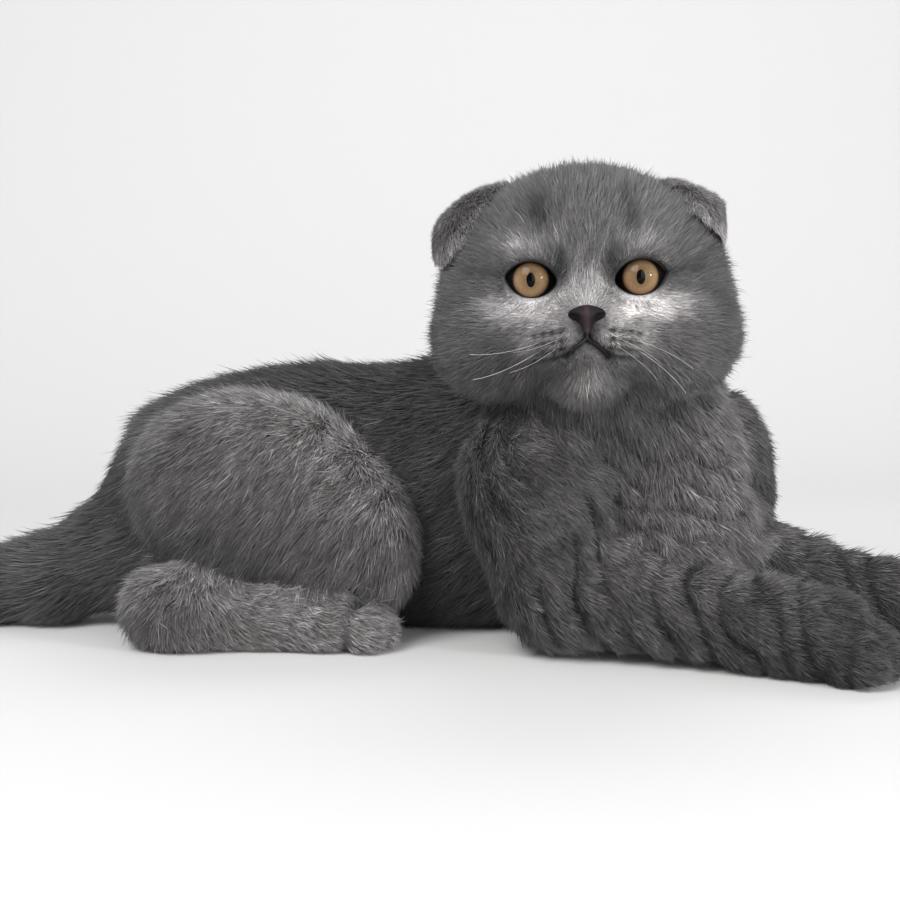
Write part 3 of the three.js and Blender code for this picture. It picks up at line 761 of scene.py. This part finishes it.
def vertex_normals(points, quads):
    _, normal, area = face_geometry(points, quads)
    total = np.zeros_like(points)
    for n in range(4):
        for axis in range(3):
            total[:, axis] += np.bincount(quads[:, n], normal[:, axis] * area, len(points))
    return unit_rows(total)


def scattered(points, quads, normals, weights, count):
    chosen = random.choice(len(quads), size=count, p=weights / weights.sum())
    u, v = random.random((2, count))[:, :, None]
    corners = quads[chosen]

    def blended(values):
        top = values[corners[:, 0]] * (1 - u) + values[corners[:, 1]] * u
        low = values[corners[:, 3]] * (1 - u) + values[corners[:, 2]] * u
        return top * (1 - v) + low * v

    return blended(points), blended(normals)


# Tufts are closer together on the front of the head, fewer on the far side, and nearly absent
# under the body, where it lies on the floor.
FACE_FROM = 4
centres, face_normals, areas = face_geometry(skin_points, skin_quads)
face_shares, face_nearest = region_shares(centres)
on_front = np.where(head_place(centres)[:, 2] >= FACE_FROM, 3.4 * (1 + 0.5 * face_nearness(centres)), 1)
weights = areas * (1 + face_shares[:, 0] * (on_front - 1))
region_density = coat_thousands * 1000 / np.bincount(face_nearest, weights, len(region_names))
weights = weights * (face_shares @ region_density)
weights = weights * np.where(centres[:, 2] < 1.5, 0.05, 1)
weights = weights * np.where((centres[:, 1] > 20) & (face_normals[:, 1] > 0.3), 0.6, 1)
roots, normals = scattered(skin_points, skin_quads, vertex_normals(skin_points, skin_quads), weights, TUFTS)
ear_of = np.full(TUFTS, False)
growth_given = np.zeros((TUFTS, 3))
along_ear = np.zeros(TUFTS)
for ear_mesh in ear_meshes.values():
    ear_points = ear_mesh["points"]
    _, _, ear_areas = face_geometry(ear_points, ear_mesh["front"])
    fields = np.concatenate([ear_mesh["outwards"], ear_mesh["growth"], ear_mesh["along"]], axis=1)
    fields = np.concatenate([fields, np.zeros((len(ear_points) - len(fields), 7))])
    found, values = scattered(ear_points, ear_mesh["front"], fields, ear_areas, EAR_TUFTS)
    roots = np.concatenate([roots, found])
    normals = np.concatenate([normals, values[:, :3]])
    growth_given = np.concatenate([growth_given, values[:, 3:6]])
    along_ear = np.concatenate([along_ear, values[:, 6]])
    ear_of = np.concatenate([ear_of, np.full(EAR_TUFTS, True)])
normals = unit_rows(normals)

shares, nearest = region_shares(roots)
nearest[ear_of] = 0
# No tuft grows on the lid rims, the nose leather or the lips, and few in the creases.
BARE_ROUND_EYE = 0.55
BARE_ROUND_MOUTH = 0.75
NOSE_CENTRE, NOSE_REACH = (0, EYE_UP - 11.3, 38), (5.2, 3.6, 6)
BEYOND_EYE = 30.0
keep = np.full(len(roots), True)
eye_edge = np.full(len(roots), BEYOND_EYE)
for side in eye_centres:
    opening, ahead = tilted_opening(roots, side)
    keep &= (opening > BARE_ROUND_EYE) | (ahead < 0)
    off_lid = np.where(ahead > 0, np.maximum(opening, 0), BEYOND_EYE)
    eye_edge = np.minimum(eye_edge, off_lid)
keep &= (((head_place(roots) - NOSE_CENTRE) / NOSE_REACH) ** 2).sum(axis=1) > 1
keep &= mouth_distance(roots) > BARE_ROUND_MOUTH
keep &= random.random(len(roots)) > 0.85 * crease(roots, shares)
keep &= (roots[:, 2] > 1.2) | (normals[:, 2] > -0.5)
roots, normals, shares, nearest, ear_of, growth_given, along_ear, eye_edge = (
    values[keep] for values in (roots, normals, shares, nearest, ear_of, growth_given, along_ear, eye_edge)
)
place = head_place(roots)

growth_of_region = np.array([COAT[name][3] or (0, 0, 0) for name in region_names], float)
growth = shares @ growth_of_region + shares[:, :1] * unit_rows(roots - NOSE_TIP)
for centre in eye_centres.values():
    off = roots - centre
    size = np.linalg.norm(off, axis=1)
    near = np.exp(-eye_edge / 2.4) * (size < EYE_RADIUS * 2.2)
    growth += near[:, None] * 3 * off / size[:, None]
mouth_off = mouth_distance(roots)
from_mouth = np.sign(place[:, :1]) * side_axis * 0.8 - up_axis * 0.4
growth += np.exp(-mouth_off / 1.5)[:, None] * from_mouth
tail_start = np.array(TAIL_LINE[:-1]) + shift
tail_run = np.diff(np.array(TAIL_LINE, float), axis=0)
tail_nearest = np.linalg.norm(roots[:, None] - (tail_start + tail_run / 2)[None], axis=2).argmin(axis=1)
growth = growth + 1.5 * share_of(shares, "tail")[:, None] * unit_rows(tail_run[tail_nearest])
growth[ear_of] = unit_rows(growth_given[ear_of])
swirl = np.stack([ripple(roots, (15, 8, 4.6), seed) for seed in (31, 32, 33)], axis=1)
growth = growth + swirl * (0.2 - 0.1 * face_nearness(roots))[:, None]
growth = growth + random.normal(size=growth.shape) * 0.13
growth = unit_rows(growth - (growth * normals).sum(axis=1)[:, None] * normals)

near_face, near_muzzle, near_eye = face_nearness(roots), muzzle_nearness(roots), eye_nearness(roots)
folds = crease(roots, shares)
length = shares @ coat_lengths
length = length * (1 - 0.42 * near_face) * (1 - 0.48 * near_muzzle) * (1 - 0.5 * near_eye)
length = length * (1 - 0.5 * np.exp(-eye_edge / 1.5)) * (1 - 0.55 * np.exp(-((mouth_off / 2.2) ** 2)))
length = length * np.exp(random.normal(0, 0.2, len(roots))) * (1 - 0.6 * folds)
length[ear_of] = 2.4 + 1.4 * random.random(ear_of.sum())
lean = np.radians(shares @ coat_leans * (1 - 0.2 * near_face))
lean = lean * np.exp(random.normal(0, 0.22, len(roots)))
LOOSE_SHARE = 0.015
loose = random.random(len(roots)) < LOOSE_SHARE
length[loose] *= 1.15
lean[loose] *= 1.5
lean[ear_of] *= 0.7
base_lean = np.minimum(lean * 1.9, 1.15)


def leaned(angle):
    return growth * np.cos(angle)[:, None] + normals * np.sin(angle)[:, None]


ROOT_DEPTH = 0.35
TIP_OFF_FLOOR = 0.3
sunk = roots - normals * ROOT_DEPTH
bend = sunk + leaned(base_lean) * (length * 0.5)[:, None]
tips = bend + leaned(lean * 0.45) * (length * 0.55)[:, None]
tips[:, 2] = np.maximum(tips[:, 2], TIP_OFF_FLOOR)
across = np.cross(growth, normals)
front = place[:, 2] >= FACE_FROM
thick = np.where(((nearest == 0) & front) | ear_of, 0.12, 0.15) + 0.012 * length
thick = thick * np.exp(random.normal(0, 0.15, len(roots)))
past_root = np.clip((along_ear - 0.3) / 0.25, 0, 1)
at_free_edge = np.clip((along_ear - 0.86) / 0.1, 0, 1)
tuft_marking_and_shade = np.where(ear_of, 0.4 + 0.3 * past_root + 0.9 * at_free_edge, markings_and_shade(roots))
tuft_tone = np.exp(random.normal(0, 0.38, len(roots)) + 0.16 * ripple(roots, (5.5, 3.2), 41))
chance = random.random(len(roots))
tuft_tone = tuft_tone * np.where(chance < 0.1, 1.5, np.where(chance > 0.88, 0.55, 1))


# Unwrap of the skin under one region: the angle round the region's own length against the place
# along it, so that each root has a place of its own.
def unwrapped(points, normals, axis):
    centre = points.mean(axis=0)
    axis = np.array(axis, float) / np.linalg.norm(axis)
    outwards = normals.mean(axis=0)
    outwards = outwards - (outwards @ axis) * axis
    outwards = outwards / max(np.linalg.norm(outwards), 1e-6)
    sideways = np.cross(axis, outwards)
    off = points - centre
    turn = np.arctan2(off @ sideways, off @ outwards)
    along = off @ axis
    pair = np.stack([turn, along], axis=1)
    low, high = pair.min(axis=0), pair.max(axis=0)
    return 0.01 + 0.98 * (pair - low) / (high - low)


above_eyes = place[:, 1] >= 3
COAT_PIECES = {  # the roots of the piece and the line round which it is unwrapped
    "brow": ((nearest == 0) & front & above_eyes, up_axis),
    "face": ((nearest == 0) & front & ~above_eyes, up_axis),
    "back_of_head": ((nearest == 0) & ~front, up_axis),
}
UNWRAP_LINES = {
    "neck": (0, 0, 1),
    "chest": (0, 0, 1),
    "tail": (1, -0.3, 0),
    "foreleg_right": (0.8, -0.4, -0.4),
    "foreleg_left": (0.8, -0.4, -0.4),
    "forepaw_right": (0.9, -0.4, 0),
    "forepaw_left": (0.9, -0.4, 0),
}
for n, region in enumerate(region_names[1:], 1):
    COAT_PIECES[region] = (nearest == n, UNWRAP_LINES.get(region, (1, 0, 0)))
TUFT_FACES = np.array([(0, 1, 3), (1, 2, 3), (2, 0, 3)])
TUFT_PATCH = 0.0015
turns = np.radians([90, 210, 330])
for name, (chosen, axis) in COAT_PIECES.items():
    count = int(chosen.sum())
    normals_here = normals[chosen]
    ring = [across[chosen] * math.cos(turn) + normals_here * math.sin(turn) for turn in turns]
    corners = [sunk[chosen] + off * thick[chosen][:, None] for off in ring]
    points = np.stack([*corners, tips[chosen]], axis=1)
    faces = (TUFT_FACES[None] + 4 * np.arange(count)[:, None, None]).reshape(-1, 3)
    piece = mesh_piece("coat_" + name, points.reshape(-1, 3), faces, coat_material)
    set_attribute(piece.data, "along", np.tile([0.05, 0.05, 0.05, 1], count))
    set_attribute(piece.data, "marking_and_shade", np.repeat(tuft_marking_and_shade[chosen], 4))
    set_attribute(piece.data, "tone", np.repeat(tuft_tone[chosen], 4))
    patch = np.array([*(TUFT_PATCH * np.stack([np.cos(turns), np.sin(turns)], axis=1)), (0, 0)])
    places = (unwrapped(roots[chosen], normals_here, axis)[:, None] + patch[None]).reshape(-1, 2)
    layer = piece.data.uv_layers.new(name="OFBake")
    layer.data.foreach_set("uv", places[faces.ravel()].astype(np.float32).ravel())
    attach(piece, "root")


# Eyes
# A wet eyeball with a clear raised cornea over an amber iris, which darkens to its rim and round
# the upright slit of the pupil. Only the part inside the lids shows.
eye_material, tree, shader = new_material("wet_amber_eye", 0.4, 0)
shader.inputs["Coat Weight"].default_value = 0.5
shader.inputs["Coat Roughness"].default_value = 0.02
shader.inputs["Coat IOR"].default_value = 1.3
iris_place = attribute_of(tree, "iris_place", "Vector")
across_iris, up_iris, _ = add_node(tree, "ShaderNodeSeparateXYZ", {0: iris_place}).outputs


def far_from_middle(tree, across, up):
    squares = [maths(tree, "POWER", part, 2) for part in (across, up)]
    return maths(tree, "SQRT", maths(tree, "ADD", *squares))


round_off = far_from_middle(tree, across_iris, up_iris)
rings = ramp_of(tree, round_off, [
    (0, (0.09, 0.056, 0.026)),
    (0.2, (0.145, 0.092, 0.045)),
    (0.36, (0.23, 0.148, 0.086)),
    (0.44, (0.2, 0.122, 0.065)),
    (0.485, (0.06, 0.034, 0.022)),
    (0.51, (0.005, 0.004, 0.004)),
])
turning = maths(tree, "ARCTAN2", up_iris, across_iris)
spoke_place = add_node(tree, "ShaderNodeCombineXYZ", {
    0: maths(tree, "MULTIPLY", turning, 9),
    1: maths(tree, "MULTIPLY", round_off, 5),
})
spokes = add_node(tree, "ShaderNodeTexNoise", {"Scale": 2.2, "Detail": 5, "Vector": spoke_place.outputs[0]})
spoke_tone = speckled(tree, spokes.outputs["Fac"], (0.68, 0.66, 0.6), (1.15, 1.15, 1.15))
iris = multiplied(tree, rings, spoke_tone)
from_slit = far_from_middle(
    tree, maths(tree, "MULTIPLY", across_iris, 8.3), maths(tree, "MULTIPLY", up_iris, 4.9)
)
pupil = ramp_of(tree, from_slit, [(0.9, (0.001, 0.001, 0.001)), (1, (1, 1, 1))])
height = maths(tree, "ADD", up_iris, 0.5)
lid_shade = ramp_of(tree, height, [(0.55, (1, 1, 1)), (0.93, (0.3, 0.3, 0.28))])
iris = multiplied(tree, iris, lid_shade)
coloured(tree, shader, multiplied(tree, iris, pupil))
roughened(tree, shader, noise_at(tree, 700, 2), 0.06, 0.0002)

IRIS_RADIUS = 5
CORNEA_RISE = 0.75
BALL_ROWS, BALL_COLUMNS = 40, 64
BALL_SHOWN = math.pi * 0.62


def ring_faces(rows, columns):
    number = np.arange(rows * columns).reshape(rows, columns)
    after = np.roll(number, -1, axis=1)
    return np.stack([number[:-1], number[1:], after[1:], after[:-1]], axis=-1).reshape(-1, 4)


for side, centre in eye_centres.items():
    bands = np.linspace(0, BALL_SHOWN, BALL_ROWS) ** 1.15
    turn = np.linspace(0, 2 * math.pi, BALL_COLUMNS, endpoint=False)
    band, turn = np.meshgrid(bands, turn, indexing="ij")
    bulge = CORNEA_RISE * np.exp(-((band * EYE_RADIUS / IRIS_RADIUS) ** 2))
    radius = EYE_RADIUS - 0.15 + bulge
    own = np.stack([np.sin(band) * np.cos(turn), np.sin(band) * np.sin(turn), np.cos(band)], axis=-1)
    points = centre + (own * radius[..., None]) @ HEAD_AXES
    quads = ring_faces(BALL_ROWS, BALL_COLUMNS)
    ball = mesh_piece("eye_" + side + "_ball", points.reshape(-1, 3), quads, eye_material)
    disc = own.reshape(-1, 3) * EYE_RADIUS
    set_attribute(ball.data, "iris_place", disc / 10, "FLOAT_VECTOR")
    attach(ball, "root")
    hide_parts("eye_" + side)


# Lids
# The bare dark rim of both lids round each eye: a soft rolled edge, pointed at both corners, wet
# where it lies on the eyeball.
lid_material, tree, shader = new_material("bare_dark_lid", 0.45, 0.25)
coloured(tree, shader, speckled(tree, noise_at(tree, 1500), (0.005, 0.004, 0.004), (0.014, 0.011, 0.011)))
LID_PROFILE = ((0.93, -0.25), (0.965, 0.25), (1.03, 0.55), (1.12, 0.62), (1.22, 0.35), (1.32, -0.5))
for side, centre in eye_centres.items():
    sign = 1 if side == "left" else -1
    corner_turn = math.acos(LID_RISE / LID_CURVE)
    upper_arc = np.linspace(corner_turn, -corner_turn, 49)[:-1]
    arcs = [(LID_CURVE * np.sin(upper_arc), LID_CURVE * np.cos(upper_arc) - LID_RISE),
            (-LID_CURVE * np.sin(upper_arc), LID_RISE - LID_CURVE * np.cos(upper_arc))]
    outline = np.stack([np.concatenate([arc[n] for arc in arcs]) for n in (0, 1)], axis=1)
    rings = []
    for reach, lift in LID_PROFILE:
        ring = outline * (reach, reach + (reach - 0.93) * 0.25)
        across_eye = sign * (ring[:, 0] * math.cos(LID_TILT) - ring[:, 1] * math.sin(LID_TILT))
        high = ring[:, 1] * math.cos(LID_TILT) + ring[:, 0] * math.sin(LID_TILT)
        off = np.hypot(across_eye, high)
        ahead = np.sqrt(np.maximum(EYE_RADIUS**2 - off**2, 6)) + lift
        rings.append(centre + np.stack([across_eye, high, ahead], axis=1) @ HEAD_AXES)
    points = np.concatenate(rings)
    quads = ring_faces(len(rings), len(outline))
    if sign > 0:
        quads = quads[:, ::-1]
    lid = mesh_piece("lids_" + side, points, quads, lid_material)
    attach(lid, "root")


# Nose leather
# A small rounded triangle of pebbled dark skin with its point to the lips, pinkish along the
# middle, and a comma-shaped nostril on each side.
leather_material, tree, shader = new_material("pebbled_nose_leather", 0.6, 0.12)
place_on_nose = add_node(tree, "ShaderNodeTexCoord").outputs["Object"]
cells = add_node(tree, "ShaderNodeTexVoronoi", {"Vector": place_on_nose, "Scale": 2300})
pebbles = cells.outputs["Distance"]
tones = ramp_of(tree, attribute_of(tree, "midline_and_nostril_shade"), [
    (0, (0.002, 0.002, 0.002)),
    (0.35, (0.016, 0.013, 0.015)),
    (1, (0.04, 0.024, 0.03)),
])
shade = ramp_of(tree, pebbles, [(0, (1.1, 1.1, 1.1)), (0.7, (0.7, 0.68, 0.68))])
coloured(tree, shader, multiplied(tree, tones, shade))
roughened(tree, shader, pebbles, 0.5, 0.0002, invert=True)

NOSE_CELL = 0.25
NOSE_CELLS = 72
nose_low = on_head(0, EYE_UP - 11, 37) - NOSE_CELL * NOSE_CELLS / 2
lines = [nose_low[i] + NOSE_CELL * np.arange(NOSE_CELLS) for i in range(3)]
nose_grid = np.stack(np.meshgrid(*lines, indexing="ij"), axis=-1)
nose_field = melt_at(nose_grid, 1.5, [
    head_mass((0, EYE_UP - 9.6, 37.2), (5.2, 2.3, 3)),
    limb_between(on_head(0, EYE_UP - 10, 37.6), on_head(0, EYE_UP - 13.8, 37.4), 2.5, 1.3),
])
NOSTRIL_LINE = [(2.3, -10.9, 41), (3.3, -10.1, 40), (4.6, -9.9, 38.5)]
for sign in (-1, 1):
    for start, end in zip(NOSTRIL_LINE, NOSTRIL_LINE[1:]):
        a, b = (on_head(sign * s, EYE_UP + u, f) for s, u, f in (start, end))
        nose_field = np.maximum(nose_field, -limb_between(a, b, 0.95, 0.7)[0](nose_grid))
nose_points, nose_quads = net(nose_field, nose_low, NOSE_CELL)
nose_points = smoothed(nose_points, nose_quads, 2)
nose = mesh_piece("nose_leather", nose_points, nose_quads, leather_material)
nose_place = head_place(nose_points) * (1, 1, 0)
# The leather is pinkish along the middle, with painted shade darkening it inside each nostril.
nostril = spot(np.abs(nose_place), (3.5, abs(EYE_UP - 10.2), 0), (1.5, 0.9, 1))
set_attribute(nose.data, "midline_and_nostril_shade", 0.35 + 0.65 * np.exp(-((nose_place[:, 0] / 0.8) ** 2)) - 0.9 * nostril)
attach(nose, "root")
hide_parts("nose")


# Lips
# The dark line of the mouth: a groove from the nose down to the lips, which part to both sides
# under the whisker pads. It is a thin cord of bare skin laid on the face.
skin_place = head_place(skin_points)
front_points = skin_place[:, 2] > 15


def on_face(side, up):
    near = skin_place[front_points]
    off = (near[:, 0] - side) ** 2 + (near[:, 1] - up) ** 2
    found = np.argsort(off)[:6]
    return on_head(side, up, np.median(near[found, 2]) + 0.2)


LIP_STEPS, LIP_SIDES = 26, 10
for sign, side in ((-1, "right"), (1, "left")):
    steps = np.linspace(0, 1, LIP_STEPS)
    flat_line = smooth_line([(sign * a, EYE_UP + b, 0) for a, b in MOUTH_LINE], steps)
    middle = np.array([on_face(a, b) for a, b, _ in flat_line])
    for _ in range(3):
        middle[1:-1] = (middle[:-2] + middle[1:-1] + middle[2:]) / 3
    sideways = np.cross(unit_rows(np.gradient(middle, axis=0)), forward_axis)
    ring_turns = np.linspace(0, 2 * math.pi, LIP_SIDES, endpoint=False)
    radius = (0.5 * np.sin(np.clip(steps * 1.1 + 0.35, 0, 1) * math.pi / 2) * (1.15 - steps))[:, None]
    rings = [middle + radius * (sideways * math.cos(t) + forward_axis * math.sin(t)) for t in ring_turns]
    points = np.stack(rings, axis=1).reshape(-1, 3)
    quads = ring_faces(LIP_STEPS, LIP_SIDES)[:, [0, 3, 2, 1]]
    lip = mesh_piece("lips_" + side, points, quads, lid_material)
    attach(lip, "root")


# Whiskers
# A few stiff pale hairs on the muzzle pads, short and thin at this age. Each root is a point that
# carries its lean and length, and one tree of nodes grows a tapered, drooping hair from it.
whisker_material, tree, shader = new_material("stiff_white_whisker", 0.35, 0.5)
coloured(tree, shader, speckled(tree, noise_at(tree, 400), (0.34, 0.33, 0.32), (0.55, 0.54, 0.53)))

whisker_roots = []
whisker_leans = []
whisker_sizes = []
for sign in (-1, 1):
    for line in (1, 2):
        for place_in_line in (1, 3):
            side_place, up_place = WHISKER_PLACES[4 * line + place_in_line]
            whisker_roots.append(on_face(sign * side_place, up_place))
            lean = np.array((sign * 1, -0.05 - 0.3 * line, 0.5 - 0.16 * place_in_line))
            lean = lean + random.normal(size=3) * 0.06
            whisker_leans.append(lean @ HEAD_AXES)
            whisker_sizes.append(0.011 + 0.002 * place_in_line + 0.003 * random.random())

holder = bpy.data.meshes.new("whisker_roots")
holder.from_pydata([tuple(point / 1000) for point in whisker_roots], [], [])
set_attribute(holder, "lean", np.array(whisker_leans), "FLOAT_VECTOR")
set_attribute(holder, "size", np.array(whisker_sizes))
whisker_holder = placed("whisker_roots", holder)

WHISKER_FORM = {"Root Thickness": 0.00006, "Droop": 0.18, "Sides": 5}
USUAL_LENGTH = 0.012
tree = bpy.data.node_groups.new("Whiskers", "GeometryNodeTree")
inputs = {}
tree.interface.new_socket("Geometry", in_out="INPUT", socket_type="NodeSocketGeometry")
for label, value in WHISKER_FORM.items():
    kind = "NodeSocketInt" if label == "Sides" else "NodeSocketFloat"
    inputs[label] = tree.interface.new_socket(label, in_out="INPUT", socket_type=kind)
    inputs[label].default_value = value
tree.interface.new_socket("Geometry", in_out="OUTPUT", socket_type="NodeSocketGeometry")
given = add_node(tree, "NodeGroupInput").outputs
bent_end = add_node(tree, "ShaderNodeCombineXYZ", {"X": given["Droop"], "Z": 1})
hair_line = add_node(tree, "GeometryNodeCurveQuadraticBezier", {
    "Resolution": 14,
    "Start": (0, 0, 0),
    "Middle": (0, 0, 0.6),
    "End": bent_end.outputs[0],
})
along_hair = add_node(tree, "GeometryNodeSplineParameter").outputs["Factor"]
taper = add_node(tree, "ShaderNodeMapRange", {"Value": along_hair, "To Min": 1, "To Max": 0.12})
tapered = add_node(tree, "GeometryNodeSetCurveRadius", {
    "Curve": hair_line.outputs["Curve"],
    "Radius": taper.outputs["Result"],
})
radius = maths(tree, "DIVIDE", given["Root Thickness"], 2 * USUAL_LENGTH)
ring = add_node(tree, "GeometryNodeCurvePrimitiveCircle", {"Resolution": given["Sides"], "Radius": radius})
hair = add_node(tree, "GeometryNodeCurveToMesh", {
    "Curve": tapered.outputs["Curve"],
    "Profile Curve": ring.outputs["Curve"],
})
size_of, lean_of = (
    add_node(tree, "GeometryNodeInputNamedAttribute", {"Name": name}, data_type=kind).outputs["Attribute"]
    for name, kind in (("size", "FLOAT"), ("lean", "FLOAT_VECTOR"))
)
aim = add_node(tree, "FunctionNodeAlignRotationToVector", {"Vector": lean_of}, axis="Z")
planted = add_node(tree, "GeometryNodeInstanceOnPoints", {
    "Points": given["Geometry"],
    "Instance": hair.outputs["Mesh"],
    "Rotation": aim.outputs["Rotation"],
    "Scale": size_of,
})
grown = add_node(tree, "GeometryNodeRealizeInstances", {"Geometry": planted.outputs["Instances"]})
painted = add_node(tree, "GeometryNodeSetMaterial", {
    "Geometry": grown.outputs["Geometry"],
    "Material": whisker_material,
})
add_node(tree, "NodeGroupOutput", {"Geometry": painted.outputs["Geometry"]})
modifier = whisker_holder.modifiers.new("Whiskers", "NODES")
modifier.node_group = tree
for label, value in WHISKER_FORM.items():
    modifier[inputs[label].identifier] = value
bpy.context.view_layer.update()
grown = whisker_holder.evaluated_get(bpy.context.evaluated_depsgraph_get())
whisker_mesh = bpy.data.meshes.new_from_object(grown)
whisker_mesh.name = "whiskers"
whisker_mesh.shade_smooth()
if not whisker_mesh.materials:
    whisker_mesh.materials.append(whisker_material)
whiskers = placed("whiskers", whisker_mesh)
bpy.data.objects.remove(whisker_holder)
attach(whiskers, "root")


# Floor, light and camera
# A plain pale floor that curves up behind, soft light from the upper left, the right and behind,
# a small light for the glint in the eyes, and a camera at the photograph's place and angle.
floor_material, tree, shader = new_material("pale_studio_floor", 0.8, 0.3)
shader.inputs["Base Color"].default_value = (0.62, 0.61, 0.6, 1)
run = np.array([(y, 0) for y in (-2.4, 0.35)] + [
    (0.35 + 0.5 * math.sin(t), 0.5 - 0.5 * math.cos(t)) for t in np.linspace(0.1, math.pi / 2, 16)
] + [(0.85, 2.6)])
points = np.array([(x, y, z) for x in (-3, 3) for y, z in run]) * 1000
count = len(run)
number = np.arange(count - 1)
quads = np.stack([number, number + count, number + count + 1, number + 1], axis=1)
floor = mesh_piece("studio_floor", points, quads, floor_material)

for label, place, size, power in (
    ("key", (-0.55, -0.9, 1.0), 0.7, 19),
    ("fill", (0.5, -1.05, 0.28), 0.9, 8),
    ("catch", (0.73, -0.63, 0.24), 0.1, 4),
    ("rim", (0.2, 0.75, 0.9), 0.7, 4),
):
    light = bpy.data.lights.new(label, "AREA")
    light.size = size
    light.energy = power
    holder = placed(label, light)
    holder.location = place
    aim_at = np.array((0.03, -0.02, 0.06)) - np.array(place)
    holder.rotation_euler = (
        math.atan2(math.hypot(aim_at[0], aim_at[1]), -aim_at[2]),
        0,
        math.atan2(aim_at[1], aim_at[0]) - math.pi / 2,
    )
world = bpy.data.worlds.new("soft_room")
world.use_nodes = True
world.node_tree.nodes["Background"].inputs["Color"].default_value = (0.9, 0.94, 1, 1)
world.node_tree.nodes["Background"].inputs["Strength"].default_value = 0.55
bpy.context.scene.world = world

camera_data = bpy.data.cameras.new("camera")
camera_data.lens = 72
camera_data.sensor_width = 36
camera = placed("camera", camera_data)
CAMERA_PLACE = (0, -560, 120)
LOOKS_DOWN = 6.2
camera.location = tuple((shift + CAMERA_PLACE) / 1000)
camera.rotation_euler = (math.radians(90 - LOOKS_DOWN), 0, 0)
bpy.context.scene.camera = camera
bpy.context.scene.view_settings.view_transform = "Standard"
